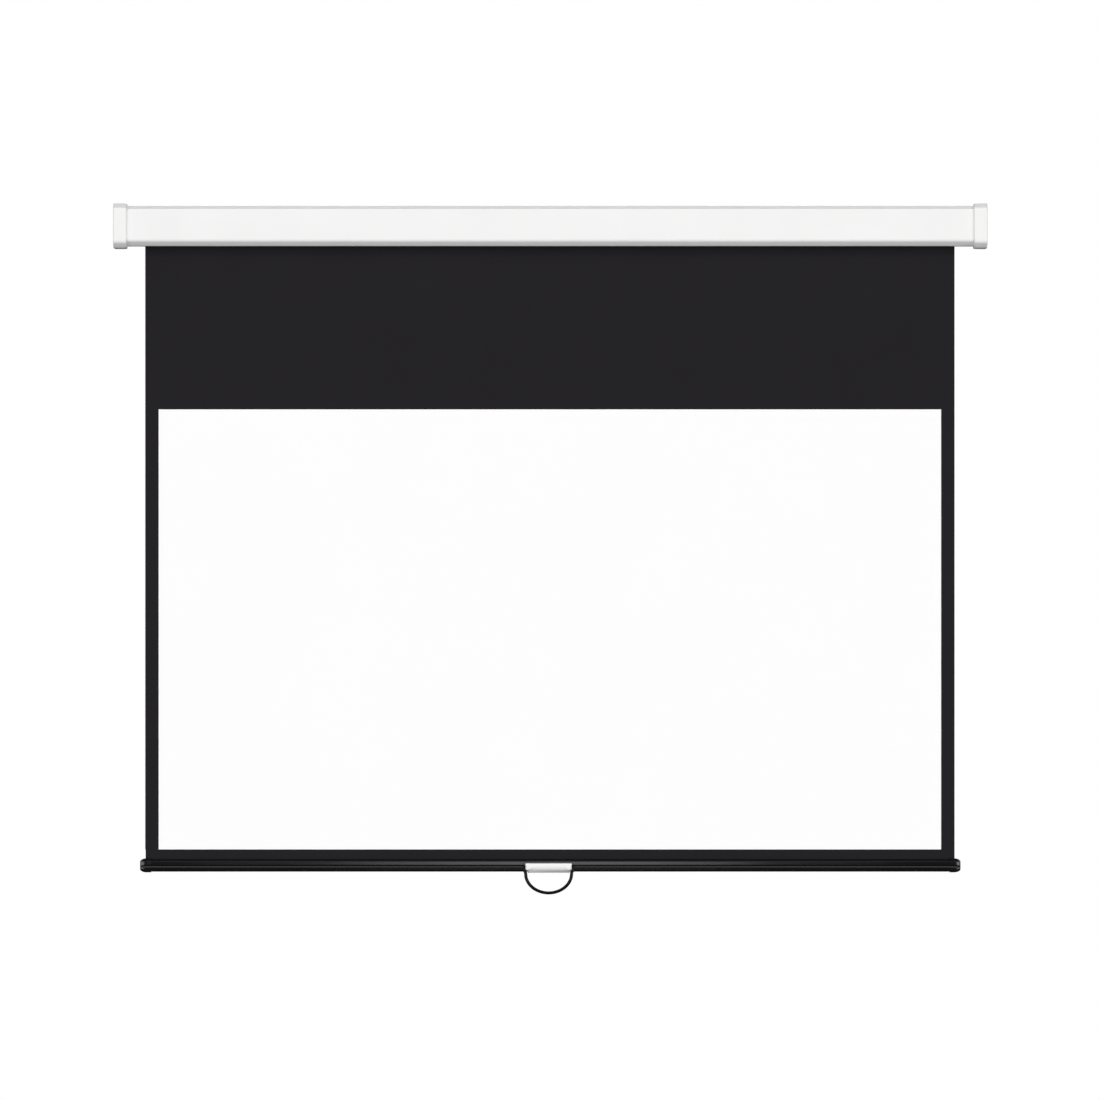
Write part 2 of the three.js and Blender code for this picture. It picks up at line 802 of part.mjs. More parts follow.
function springCone() {
  const body = turnedX([
    [springRight - noseLength, noseRadius],
    [springRight + seatGap, noseRadius],
    [springRight + seatGap, coneFlangeRadius],
    [springRight + coneFlange, coneFlangeRadius],
  ]);
  return cut(body, rodX(shaftRadius + seatGap, springRight - noseLength - overrun, coneX + overrun));
}

function buildRoller(group) {
  const roller = new THREE.Group();
  roller.position.set(0, rollerY, rollerZ);
  group.add(roller);
  add(roller, "roller_tube", rollerTube(), bareAluminium);
  const spline = rodX(splineRadius, clothLeft, clothRight, 0, grooveCentre, screwSides);
  add(roller, "cloth_spline", spline, nylon);
  add(roller, "cloth_wraps", clothWraps(), blackCloth);
  add(roller, "idler_plug", idlerPlug(), nylon);
  add(roller, "idler_bush", idlerBush(), nylon);
  add(roller, "idler_pin", idlerPin(), zincSteel);
  add(roller, "spear_shaft", spearShaft(), zincSteel);
  add(roller, "pawl_carrier", pawlCarrier(), zincSteel);
  add(roller, "ratchet_wheel", ratchetWheel(), springSteel);
  const line = springLine();
  console.log(`torsion spring: least gap to itself ${leastSpringGap(line).toFixed(2)} mm`);
  add(roller, "torsion_spring", wireAlong(line, springWire / 2, springSides), springSteel);
  add(roller, "spring_anchor", springAnchor(), nylon);
  add(roller, "spring_cone", springCone(), nylon);
  const pinFrom = tubeRight + seatGap + pawlPinFloor;
  pawlPlaces().forEach(({ angle, y, z }, i) => {
    const letter = "ab"[i];
    const pin = rodX(pawlPinRadius, pinFrom, pinFrom + pawlPinLength, y, z, screwSides);
    add(roller, `pawl_pin_${letter}`, pin, zincSteel);
    const lever = add(roller, `pawl_${letter}`, pawl(), springSteel);
    lever.position.set(0, y, z);
    lever.rotation.x = angle;
  });
}

// Cloth between the roller and the hem
function buildCloth(group) {
  const face = clothY - clothThickness / 2;
  const back = clothY + clothThickness / 2;
  const top = rollerZ - seatGap;
  const low = pictureBottom + seatGap;
  const sheet = [[face, low], [back, low], [back, top], [face, top]];
  add(group, "screen_cloth", alongX(filleted(sheet), clothLeft, clothRight), blackCloth);
  const front = face - whiteThickness;
  const coat = [[front, low], [face, low], [face, pictureTop], [front, pictureTop]];
  const coating = alongX(filleted(coat), clothLeft + sideBorder, clothRight - sideBorder);
  add(group, "projection_surface", coating, whiteCoating);
}

// Bottom bar: the drawing's zero is the middle of the bar's top, and grow makes it larger all round
function barOutline(grow) {
  const neck = barNeckDepth / 2 + grow;
  const belly = barDepth / 2 + grow;
  const waist = barWaistDepth / 2 + grow;
  const shoulder = -barNeckHeight;
  const foot = -barHeight - grow;
  const waistZ = -barHeight + barWaistHeight;
  const crestZ = -barHeight + barCrestHeight;
  const bulge = (ends, peak) => 2 * peak - ends;
  const half = new THREE.Path();
  half.moveTo(neck, grow);
  half.lineTo(neck, shoulder);
  half.quadraticCurveTo(bulge((neck + waist) / 2, belly), (shoulder + waistZ) / 2, waist, waistZ);
  half.quadraticCurveTo(belly, waistZ, belly, crestZ);
  half.quadraticCurveTo(belly, foot, barFoot / 2 + grow / 2, foot);
  const points = half.getPoints(arcSteps);
  const mirrored = points.map((p) => new THREE.Vector2(-p.x, p.y)).reverse();
  return [...points, ...mirrored];
}

function barExtrusion() {
  const body = alongX(barOutline(0), -barHalf, barHalf);
  const ends = [-barHalf - overrun, barHalf + overrun];
  const cavity = rodX(hemCavity, ...ends, 0, -hemCavityDrop);
  const slit = boxBetween([ends[0], -hemSlit / 2, -hemCavityDrop], [ends[1], hemSlit / 2, overrun]);
  const low = -barHeight + chamberRise;
  const chamber = alongX(filleted([
    [-chamberWidth / 2, low, chamberRadius],
    [chamberWidth / 2, low, chamberRadius],
    [chamberWidth / 2, low + chamberHeight, chamberRadius],
    [-chamberWidth / 2, low + chamberHeight, chamberRadius],
  ]), ...ends);
  const holeRadius = clipScrewShank + seatGap;
  const screwHoles = [-1, 1].map((side) => {
    const hole = new THREE.CylinderGeometry(holeRadius, holeRadius, chamberRise + overrun, screwSides);
    const x = handleShift + (side * clipScrewSpacing) / 2;
    return hole.rotateX(Math.PI / 2).translate(x, 0, -barHeight + chamberRise / 2);
  });
  return cut(body, cavity, slit, chamber, ...screwHoles);
}

function barCap() {
  const inner = barHalf + barCapReach - barCapLength;
  const end = barHalf + barCapReach;
  const stations = [{ x: inner, outline: barOutline(barCapWall) }];
  for (let k = 0; k <= arcSteps; k++) {
    const angle = (Math.PI / 2) * (k / arcSteps);
    const x = end - barCapRound * (1 - Math.sin(angle));
    stations.push({ x, outline: barOutline(barCapWall - barCapRoundIn * (1 - Math.cos(angle))) });
  }
  const pocket = alongX(barOutline(seatGap), inner - overrun, barHalf + seatGap);
  const slit = boxBetween(
    [inner - overrun, -hemSlit / 2, -barNeckHeight],
    [barHalf + seatGap, hemSlit / 2, barCapWall + overrun],
  );
  return cut(loftX(stations), pocket, slit);
}

// Hem: the cloth's lower edge, doubled round a rod that cannot leave the bar's slot
function bottomHem() {
  const left = clothLeft + hemSetBack;
  const half = hemThickness / 2;
  const blade = boxBetween([left, -half, -hemCavityDrop], [clothRight, half, bottomBorder]);
  const loop = rodX(hemLoop, left, clothRight, 0, -hemCavityDrop);
  const bore = rodX(hemRodRadius + seatGap, left - overrun, clothRight + overrun, 0, -hemCavityDrop);
  return cut(join(blade, loop), bore);
}

// Handle clip: the drawing's zero is the wire's axis, and +y is towards the bar
const clipBack = pivotStand - seatGap;
const clipLow = pivotDrop - barHeight - clipBelow;
const channel = wireRadius + runGap;

function clipChannel(shape) {
  shape.lineTo(clipBack, -channel);
  shape.lineTo(0, -channel);
  shape.absarc(0, 0, channel, -Math.PI / 2, Math.PI / 2, true);
  shape.lineTo(clipBack, channel);
}

function clipBodyOutline() {
  const lipTop = clipLow + clipBelow - seatGap;
  const edge = filleted([
    [clipBack, clipTop],
    [-clipFront, clipTop, clipEdge],
    [-clipFront, clipLow, clipRound],
    [clipBack + clipLipReach, clipLow],
    [clipBack + clipLipReach, lipTop],
    [clipBack, lipTop],
  ]);
  const shape = new THREE.Shape(edge);
  clipChannel(shape);
  return shape;
}

function clipEarOutline() {
  const shape = new THREE.Shape(filleted([
    [clipBack, clipTop],
    [-clipFront, clipTop, clipEdge],
    [-clipFront, 0],
  ]));
  shape.absarc(0, 0, clipFront, Math.PI, (3 * Math.PI) / 2);
  shape.lineTo(clipBack, -clipFront);
  clipChannel(shape);
  return shape;
}

// Cone that takes the ear's lower outer corner off all round the wire, so that the bail can swing
function earCone(side) {
  const end = clipWidth / 2;
  const reach = Math.hypot(clipBack, clipFront) + overrun;
  const ring = cut(
    rodX(reach, end - earChamfer, end + overrun),
    turnedX([
      [end - earChamfer - overrun, clipFront + overrun],
      [end + overrun, clipFront - earChamfer - overrun],
    ]),
  );
  const lower = boxBetween([0, -reach, -reach], [end + overrun, reach, channel + runGap]);
  return onSide(side, common(ring, lower));
}

function handleClip() {
  const bodyHalf = clipBody / 2;
  const ears = [-1, 1].map((side) => {
    const ear = alongX(clipEarOutline(), bodyHalf - overrun, clipWidth / 2);
    return cut(onSide(side, ear), earCone(side));
  });
  const clip = join(alongX(clipBodyOutline(), -bodyHalf, bodyHalf), ...ears);
  const sinks = [-1, 1].map((side) => {
    const tool = clipScrew(clipScrewLength, seatGap);
    return tool.translate((side * clipScrewSpacing) / 2, pivotStand + barDepth / 2, clipLow - seatGap / 2);
  });
  return cut(clip, ...sinks);
}

// Countersunk screw that points up, with the flat of its head at z = 0
function clipScrew(length, grow = 0) {
  const shank = clipScrewShank + grow;
  const head = clipScrewHead + grow;
  const profile = [
    new THREE.Vector2(0, -grow),
    new THREE.Vector2(head, -grow),
    new THREE.Vector2(head, grow),
    new THREE.Vector2(shank, clipScrewHeadHeight + grow),
    new THREE.Vector2(shank, length),
    new THREE.Vector2(0, length),
  ];
  return new THREE.LatheGeometry(profile, screwSides).rotateX(Math.PI / 2);
}

// The bail's centreline in the XZ plane, from the middle of the clip round and back
function bailLine() {
  const side = new THREE.CurvePath();
  const at = (x, z) => new THREE.Vector3(x, 0, z);
  const cornerX = bailHalfWidth + bailCorner;
  side.add(new THREE.LineCurve3(at(bailEndGap / 2, 0), at(bailHalfWidth, 0)));
  side.add(new THREE.QuadraticBezierCurve3(at(bailHalfWidth, 0), at(cornerX, 0), at(cornerX, -bailCorner)));
  side.add(new THREE.CubicBezierCurve3(
    at(cornerX, -bailCorner),
    at(cornerX, -bailCorner * 2),
    at(bailHalfWidth, -bailJogDrop + bailCorner),
    at(bailHalfWidth, -bailJogDrop),
  ));
  const right = [...side.curves[0].getPoints(1), ...side.curves[1].getPoints(arcSteps).slice(1)];
  right.push(...side.curves[2].getPoints(arcSteps).slice(1));
  const arcs = arcSteps * 4;
  const bottom = Array.from({ length: arcs + 1 }, (_, k) => {
    const angle = (Math.PI * k) / arcs;
    return at(bailHalfWidth * Math.cos(angle), -bailBowDrop - bailDepth * Math.sin(angle));
  });
  const left = right.map((p) => at(-p.x, p.z)).reverse();
  return [...right, ...bottom, ...left];
}

function buildBar(group) {
  const bar = new THREE.Group();
  bar.position.set(0, clothY, barTop);
  group.add(bar);
  add(bar, "bar_extrusion", barExtrusion(), blackPaint);
  for (const side of [-1, 1]) {
    add(bar, `bar_cap_${sideName(side)}`, onSide(side, barCap()), blackPlastic);
  }
  add(bar, "bottom_hem", bottomHem(), blackCloth);
  const rod = rodX(hemRodRadius, clothLeft + hemSetBack, clothRight, 0, -hemCavityDrop, screwSides);
  add(bar, "hem_rod", rod, zincSteel);

  const handle = new THREE.Group();
  handle.position.set(handleShift, -barDepth / 2 - pivotStand, -pivotDrop);
  bar.add(handle);
  add(handle, "handle_clip", handleClip(), handlePlastic);
  for (const side of [-1, 1]) {
    const screw = add(handle, `clip_screw_${sideName(side)}`, clipScrew(clipScrewLength), zincSteel);
    screw.position.set((side * clipScrewSpacing) / 2, pivotStand + barDepth / 2, clipLow - seatGap / 2);
  }
  add(handle, "bail", wireAlong(bailLine(), wireRadius, wireSides), bailPlastic);
}

const screen = new THREE.Group();
buildCase(screen);
buildRoller(screen);
buildCloth(screen);
buildBar(screen);

export default screen;
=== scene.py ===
import json
import math

import bmesh
import bpy
from mathutils import Matrix, Vector


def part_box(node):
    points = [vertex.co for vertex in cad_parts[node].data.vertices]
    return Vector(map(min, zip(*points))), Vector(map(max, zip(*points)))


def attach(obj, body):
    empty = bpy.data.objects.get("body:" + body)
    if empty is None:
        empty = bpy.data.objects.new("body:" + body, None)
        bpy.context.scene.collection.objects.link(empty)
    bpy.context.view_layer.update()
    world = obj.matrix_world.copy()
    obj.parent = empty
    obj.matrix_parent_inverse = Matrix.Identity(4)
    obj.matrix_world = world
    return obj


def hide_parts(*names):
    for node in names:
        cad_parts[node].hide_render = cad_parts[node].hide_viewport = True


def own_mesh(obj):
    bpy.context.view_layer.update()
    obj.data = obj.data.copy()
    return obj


# Metres. The wall is y = 0, the front is towards -Y, and the case's middle is z = 0
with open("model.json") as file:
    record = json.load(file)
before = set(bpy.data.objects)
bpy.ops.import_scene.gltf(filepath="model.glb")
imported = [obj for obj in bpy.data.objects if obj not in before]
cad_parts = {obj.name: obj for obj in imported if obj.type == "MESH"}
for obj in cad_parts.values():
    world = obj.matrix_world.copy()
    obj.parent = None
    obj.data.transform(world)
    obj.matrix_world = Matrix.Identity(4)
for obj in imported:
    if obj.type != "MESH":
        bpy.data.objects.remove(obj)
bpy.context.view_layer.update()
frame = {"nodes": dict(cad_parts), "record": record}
nodes = frame["nodes"]
scene = bpy.context.scene
bothEnds = ((-1, "left"), (1, "right"))  # the side of x = 0 that each end is on
print("frame loaded:", len(nodes), "nodes")

# Camera: square to the wall, and so far off that the screen looks flat on
photo = {
    "pixels": 1100,
    "metresPerPixel": 0.0023746,
    "caseRow": 226.05,  # the row that the middle of the case is on
    "caseColumn": 550.3,  # and its column
    "scalePlane": -0.055,  # the depth at which the scale holds
    "distance": 30.0,
    "reach": 4,  # how many times that distance the camera sees
    "film": 36.0,  # its width in millimetres, as lenses have it
}


def placeCamera():
    width = photo["pixels"] * photo["metresPerPixel"]
    data = bpy.data.cameras.new("camera")
    data.sensor_width = photo["film"]
    data.lens = photo["film"] * photo["distance"] / width
    data.clip_end = photo["distance"] * photo["reach"]
    camera = bpy.data.objects.new("camera", data)
    side = (photo["pixels"] / 2 - photo["caseColumn"]) * photo["metresPerPixel"]
    rise = (photo["caseRow"] - photo["pixels"] / 2) * photo["metresPerPixel"]
    camera.location = (side, photo["scalePlane"] - photo["distance"], rise)
    camera.rotation_euler = (math.pi / 2, 0, 0)
    scene.collection.objects.link(camera)
    scene.camera = camera


placeCamera()
print("camera placed")


# Node helpers for the finishes
def node(tree, kind, inputs, output=0, **settings):
    made = tree.nodes.new("ShaderNode" + kind)
    for name, value in settings.items():
        setattr(made, name, value)
    for key, value in inputs.items():
        if isinstance(value, bpy.types.NodeSocket):
            tree.links.new(value, made.inputs[key])
        else:
            made.inputs[key].default_value = value
    return made.outputs[output]


def maths(tree, operation, first, second=0.0):
    return node(tree, "Math", {0: first, 1: second}, operation=operation)


def spot(tree, stretch=(1, 1, 1)):  # the place on the piece, in metres
    place = tree.nodes.new("ShaderNodeTexCoord").outputs["Object"]
    return node(tree, "Mapping", {"Vector": place, "Scale": stretch})


def clouds(tree, size, detail=2.0, stretch=(1, 1, 1)):  # soft spots of about this size
    return node(tree, "TexNoise", {"Vector": spot(tree, stretch), "Scale": 1 / size, "Detail": detail})


def cells(tree, size):  # crystals of about this size, each with one level
    found = node(tree, "TexVoronoi", {"Vector": spot(tree), "Scale": 1 / size}, output=1)
    return node(tree, "SeparateColor", {0: found})


def ranged(tree, value, low, high, start=0.3, end=0.7):
    limits = {"Value": value, "From Min": start, "From Max": end, "To Min": low, "To Max": high}
    return node(tree, "MapRange", limits)


def mixed(tree, share, first, second):
    return node(tree, "Mix", {0: share, 6: first, 7: second}, output=2, data_type="RGBA")


def blended(tree, *parts):  # a sum of (value, weight) parts
    total = 0.0
    for value, weight in parts:
        total = maths(tree, "ADD", maths(tree, "MULTIPLY", value, weight), total)
    return total


def shades(tree, colour, spread, value):  # the colour, darker and lighter by this share
    darker = [level * (1 - spread) for level in colour] + [1]
    lighter = [level * (1 + spread) for level in colour] + [1]
    return mixed(tree, ranged(tree, value, 0, 1), darker, lighter)


def startFinish(name, look):
    material = bpy.data.materials.new(name)
    material.use_nodes = True
    shader = material.node_tree.nodes["Principled BSDF"]
    named = {
        "roughness": "Roughness",
        "metal": "Metallic",
        "gloss": "Specular IOR Level",
        "sheen": "Sheen Weight",
        "depthGlow": "Subsurface Weight",
        "depthScale": "Subsurface Scale",
    }
    for key, socket in named.items():
        if key in look:
            shader.inputs[socket].default_value = look[key]
    return material, material.node_tree, shader


def wear(tree, shader, look, colour, marks, height):  # patchy gloss, and a fine relief
    tree.links.new(colour, shader.inputs["Base Color"])
    low, high = look["roughness"] - look["patchy"], look["roughness"] + look["patchy"]
    tree.links.new(ranged(tree, marks, low, high), shader.inputs["Roughness"])
    bump = node(tree, "Bump", {"Height": height, "Distance": look["relief"]})
    tree.links.new(bump, shader.inputs["Normal"])


def lines(tree, size, axis=0):  # fine scratches or drawing lines that run along one axis
    stretch = [1, 1, 1]
    stretch[axis] = 0.01  # a hundred times as long as wide
    return clouds(tree, size, 3.0, stretch)


def weave(tree, pitch):  # threads that pass over and under each other
    parts = tree.nodes.new("ShaderNodeSeparateXYZ")
    tree.links.new(spot(tree), parts.inputs[0])
    across = maths(tree, "SINE", maths(tree, "MULTIPLY", parts.outputs[0], math.pi / pitch))
    along = maths(tree, "SINE", maths(tree, "MULTIPLY", parts.outputs[2], math.pi / pitch))
    return maths(tree, "MULTIPLY", across, along)


def powderCoat(name, look):  # baked paint with a fine orange peel
    material, tree, shader = startFinish(name, look)
    patches = clouds(tree, look["patch"], 3.0)
    specks = clouds(tree, look["peel"] / 4, 0.0)
    colour = shades(tree, look["colour"], look["uneven"], blended(tree, (patches, 0.6), (specks, 0.4)))
    peel = blended(tree, (clouds(tree, look["peel"], 1.0), 0.8), (specks, 0.2))
    wear(tree, shader, look, colour, patches, peel)
    return material


def mouldedPlastic(name, look):  # spark-eroded skin, with faint handling marks
    material, tree, shader = startFinish(name, look)
    grain = clouds(tree, look["grain"], 3.0)
    handled = clouds(tree, look["patch"], 4.0)
    colour = shades(tree, look["colour"], look["uneven"], blended(tree, (handled, 0.5), (grain, 0.5)))
    wear(tree, shader, look, colour, handled, grain)
    return material


def extrudedMetal(name, look):  # die lines along the length
    material, tree, shader = startFinish(name, look)
    die = lines(tree, look["line"])
    patches = clouds(tree, look["patch"], 3.0, (0.2, 1, 1))
    colour = shades(tree, look["colour"], look["uneven"], blended(tree, (die, 0.6), (patches, 0.4)))
    wear(tree, shader, look, colour, patches, die)
    return material


def platedSteel(name, look):  # zinc plate: small crystals, each with its own shine
    material, tree, shader = startFinish(name, look)
    crystals = cells(tree, look["crystal"])
    patches = clouds(tree, look["patch"], 3.0)
    level = blended(tree, (crystals, 0.6), (patches, 0.4))
    colour = shades(tree, look["colour"], look["uneven"], level)
    height = blended(tree, (crystals, 0.3), (clouds(tree, look["crystal"] / 5), 0.7))
    wear(tree, shader, look, colour, level, height)
    return material


def temperedSteel(name, look):  # oil-dark steel, browner where it was hotter
    material, tree, shader = startFinish(name, look)
    heat = clouds(tree, look["patch"], 2.0)
    scale = clouds(tree, look["grain"], 3.0)
    warm = shades(tree, look["warm"], look["uneven"], scale)
    cold = shades(tree, look["colour"], look["uneven"], scale)
    wear(tree, shader, look, mixed(tree, ranged(tree, heat, 0, 1), cold, warm), heat, scale)
    return material


def wovenCloth(name, look):  # glass cloth under a black coating
    material, tree, shader = startFinish(name, look)
    threads = weave(tree, look["pitch"])
    slubs = blended(tree, (lines(tree, look["slub"], 0), 0.5), (lines(tree, look["slub"], 2), 0.5))
    patches = clouds(tree, look["patch"], 3.0)
    level = blended(tree, (ranged(tree, threads, 0, 1, -1, 1), 0.3), (slubs, 0.4), (patches, 0.3))
    height = blended(tree, (threads, 0.5), (slubs, 0.5))
    wear(tree, shader, look, shades(tree, look["colour"], look["uneven"], level), patches, height)
    return material


def pictureCoating(name, look):  # matt white, with the weave just showing through
    material, tree, shader = startFinish(name, look)
    beads = clouds(tree, look["bead"], 2.0)
    patches = clouds(tree, look["patch"], 3.0)
    level = blended(tree, (beads, 0.5), (patches, 0.5))
    height = blended(tree, (beads, 0.6), (weave(tree, look["pitch"]), 0.2))
    wear(tree, shader, look, shades(tree, look["colour"], look["uneven"], level), patches, height)
    return material


looks = {
    "case_paint": (powderCoat, {
        "colour": (0.880, 0.881, 0.876), "roughness": 0.42, "gloss": 0.4, "peel": 0.0022,
        "relief": 0.000008, "patch": 0.12, "patchy": 0.05, "uneven": 0.012,
    }),
    "cap_plastic": (mouldedPlastic, {
        "colour": (0.883, 0.884, 0.877), "roughness": 0.45, "gloss": 0.4, "grain": 0.0007,
        "relief": 0.000012, "patch": 0.03, "patchy": 0.05, "uneven": 0.012,
    }),
    "handle_plastic": (mouldedPlastic, {
        "colour": (0.905, 0.905, 0.915), "roughness": 0.4, "gloss": 0.35, "grain": 0.0009,
        "relief": 0.000005, "patch": 0.02, "patchy": 0.05, "uneven": 0.012,
    }),
    "bail_plastic": (mouldedPlastic, {
        "colour": (0.0015, 0.0015, 0.0016), "roughness": 0.38, "gloss": 0.15, "grain": 0.0006,
        "relief": 0.000012, "patch": 0.012, "patchy": 0.07, "uneven": 0.15,
    }),
    "bar_cap_plastic": (mouldedPlastic, {
        "colour": (0.0026, 0.0024, 0.0029), "roughness": 0.2, "gloss": 0.55, "grain": 0.0006,
        "relief": 0.000010, "patch": 0.012, "patchy": 0.06, "uneven": 0.15,
    }),
    "nylon": (mouldedPlastic, {
        "colour": (0.79, 0.76, 0.67), "roughness": 0.52, "gloss": 0.45, "grain": 0.0012,
        "relief": 0.000015, "patch": 0.015, "patchy": 0.08, "uneven": 0.04,
        "depthGlow": 0.2, "depthScale": 0.002,
    }),
    "bar_paint": (extrudedMetal, {
        "colour": (0.0030, 0.0028, 0.0034), "roughness": 0.15, "gloss": 0.5, "line": 0.0006,
        "relief": 0.000003, "patch": 0.05, "patchy": 0.03, "uneven": 0.12,
    }),
    "bare_aluminium": (extrudedMetal, {
        "colour": (0.56, 0.57, 0.59), "roughness": 0.34, "metal": 1.0, "line": 0.0004,
        "relief": 0.000006, "patch": 0.06, "patchy": 0.08, "uneven": 0.07,
    }),
    "zinc_steel": (platedSteel, {
        "colour": (0.52, 0.54, 0.56), "roughness": 0.38, "metal": 1.0, "crystal": 0.0028,
        "relief": 0.000006, "patch": 0.02, "patchy": 0.1, "uneven": 0.12,
    }),
    "spring_steel": (temperedSteel, {
        "colour": (0.10, 0.11, 0.13), "warm": (0.15, 0.12, 0.09), "roughness": 0.36, "metal": 1.0,
        "grain": 0.0005, "relief": 0.000008, "patch": 0.02, "patchy": 0.08, "uneven": 0.15,
    }),
    "black_cloth": (wovenCloth, {
        "colour": (0.0128, 0.0116, 0.0136), "roughness": 0.86, "gloss": 0.12, "sheen": 0.02,
        "pitch": 0.0005, "slub": 0.0012, "relief": 0.00003, "patch": 0.2, "patchy": 0.05,
        "uneven": 0.07,
    }),
    "white_cloth": (pictureCoating, {
        "colour": (0.966, 0.966, 0.966), "roughness": 0.94, "gloss": 0.1, "bead": 0.00035,
        "pitch": 0.0005, "relief": 0.000012, "patch": 0.3, "patchy": 0.02, "uneven": 0.004,
    }),
}
finishes = {slot: make(slot, look) for slot, (make, look) in looks.items()}
print("finishes made:", len(finishes))


# Shaping. A drawing is a list of (y, z) points, and a corner is (y, z, radius)
def newPiece(name, shape):
    bmesh.ops.recalc_face_normals(shape, faces=shape.faces)
    mesh = bpy.data.meshes.new(name)
    shape.to_mesh(mesh)
    shape.free()
    piece = bpy.data.objects.new(name, mesh)
    scene.collection.objects.link(piece)
    return piece


def skin(name, stations):  # closed, through drawings that stand at the given x places
    shape = bmesh.new()
    rings = [[shape.verts.new((x, y, z)) for y, z in drawing] for x, drawing in stations]
    for first, second in zip(rings, rings[1:]):
        for k, corner in enumerate(first):
            shape.faces.new((first[k - 1], corner, second[k], second[k - 1]))
    shape.faces.new(rings[0])
    shape.faces.new(rings[-1])
    return newPiece(name, shape)


def prism(name, drawing, x0, x1):
    return skin(name, [(x0, drawing), (x1, drawing)])


def block(low, high):
    drawing = [(low[1], low[2]), (high[1], low[2]), (high[1], high[2]), (low[1], high[2])]
    return prism("block", drawing, low[0], high[0])


def circle(radius, y=0.0, z=0.0, sides=48):
    angles = [2 * math.pi * k / sides for k in range(sides)]
    return [(y + radius * math.cos(a), z + radius * math.sin(a)) for a in angles]


def rod(radius, x0, x1, y=0.0, z=0.0):
    return prism("rod", circle(radius, y, z), x0, x1)


def rounded(corners, steps=12):
    points = []
    for i, (y, z, radius) in enumerate(corners):
        corner = Vector((y, z))
        if radius <= 0:
            points.append(corner)
            continue
        before = (Vector(corners[i - 1][:2]) - corner).normalized()
        after = (Vector(corners[(i + 1) % len(corners)][:2]) - corner).normalized()
        half = before.angle(after) / 2
        centre = corner + (before + after).normalized() * (radius / math.sin(half))
        start = corner + before * (radius / math.tan(half)) - centre
        end = corner + after * (radius / math.tan(half)) - centre
        turn = math.atan2(start.cross(end), start.dot(end))
        points += [centre + Matrix.Rotation(turn * k / steps, 2) @ start for k in range(steps + 1)]
    return points


def offset(corners, distance):  # each side of an anticlockwise drawing moved out, or in
    moved = []
    for i, (y, z, radius) in enumerate(corners):
        corner = Vector((y, z))
        before = (corner - Vector(corners[i - 1][:2])).normalized()
        after = (Vector(corners[(i + 1) % len(corners)][:2]) - corner).normalized()
        sides = Vector((before.y, -before.x)) + Vector((after.y, -after.x))
        place = corner + sides * (distance / (1 + before.dot(after)))
        moved.append((place.x, place.y, max(radius + distance, 0)))
    return moved


def bow(start, pull, end, steps=14):  # a curve from start to end, drawn towards pull
    start, pull, end = Vector(start), Vector(pull), Vector(end)
    shares = [k / steps for k in range(1, steps + 1)]
    return [start * (1 - t) ** 2 + pull * (2 * t * (1 - t)) + end * t**2 for t in shares]


def shaped(piece, tools, how="DIFFERENCE"):  # cuts the tools away, or joins them on
    for tool in tools:
        step = piece.modifiers.new("shape", "BOOLEAN")
        step.operation = how
        step.solver = "EXACT"
        step.object = tool
    view = bpy.context.evaluated_depsgraph_get()
    result = bpy.data.meshes.new_from_object(piece.evaluated_get(view))
    piece.modifiers.clear()
    piece.data = result
    for tool in tools:
        bpy.data.objects.remove(tool)
    return piece


def mirrored(piece, side):  # for the left end, where side is negative
    if side < 0:
        piece.data.transform(Matrix.Scale(-1, 4, (1, 0, 0)))
        piece.data.flip_normals()
    return piece


def smooth(piece, angle=32):  # edges that turn by less than this angle are shown round
    piece.data.polygons.foreach_set("use_smooth", [True] * len(piece.data.polygons))
    piece.data.set_sharp_from_angle(angle=math.radians(angle))
    return piece


def eased(piece, width, angle=36):  # a small round along every sharp edge
    bevel = piece.modifiers.new("eased edges", "BEVEL")
    bevel.width = width
    bevel.segments = 2
    bevel.limit_method = "ANGLE"
    bevel.angle_limit = math.radians(angle)
    bevel.harden_normals = True
    return smooth(piece, angle)


def dressed(piece, slot, body, *stood):  # finish, body and the CAD nodes that it stands for
    piece.data.materials.clear()
    piece.data.materials.append(finishes[slot])
    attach(piece, body)
    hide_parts(*stood)
    return piece


# Case: the extrusion with its slot lips and screw ports
case = {
    "wall": 0.0018,
    "bevelHeight": 0.008,  # the bevel along its top, at the front
    "bevelDepth": 0.010,
    "bevelRadius": 0.0024,
    "footHeight": 0.0116,  # and the slope underneath
    "footDepth": 0.0186,
    "footRadius": 0.010,
    "footEdgeRadius": 0.003,
    "backRadius": 0.004,
    "slotWidth": 0.0165,
    "slotLip": 0.006,
    "portRadius": 0.0042,
    "portBore": 0.0022,
    "portSink": 0.00075,  # how far a port is sunk in the wall
    "edge": 0.0004,
}
caseLow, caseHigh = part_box("case_shell")
clothLow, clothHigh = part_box("screen_cloth")
clothMiddle = (clothLow.y + clothHigh.y) / 2
caseCorners = [
    (0, caseLow.z, case["backRadius"]),
    (0, caseHigh.z, case["backRadius"]),
    (caseLow.y + case["bevelDepth"], caseHigh.z, case["bevelRadius"]),
    (caseLow.y, caseHigh.z - case["bevelHeight"], case["bevelRadius"]),
    (caseLow.y, caseLow.z + case["footHeight"], case["footRadius"]),
    (caseLow.y + case["footDepth"], caseLow.z, case["footEdgeRadius"]),
]


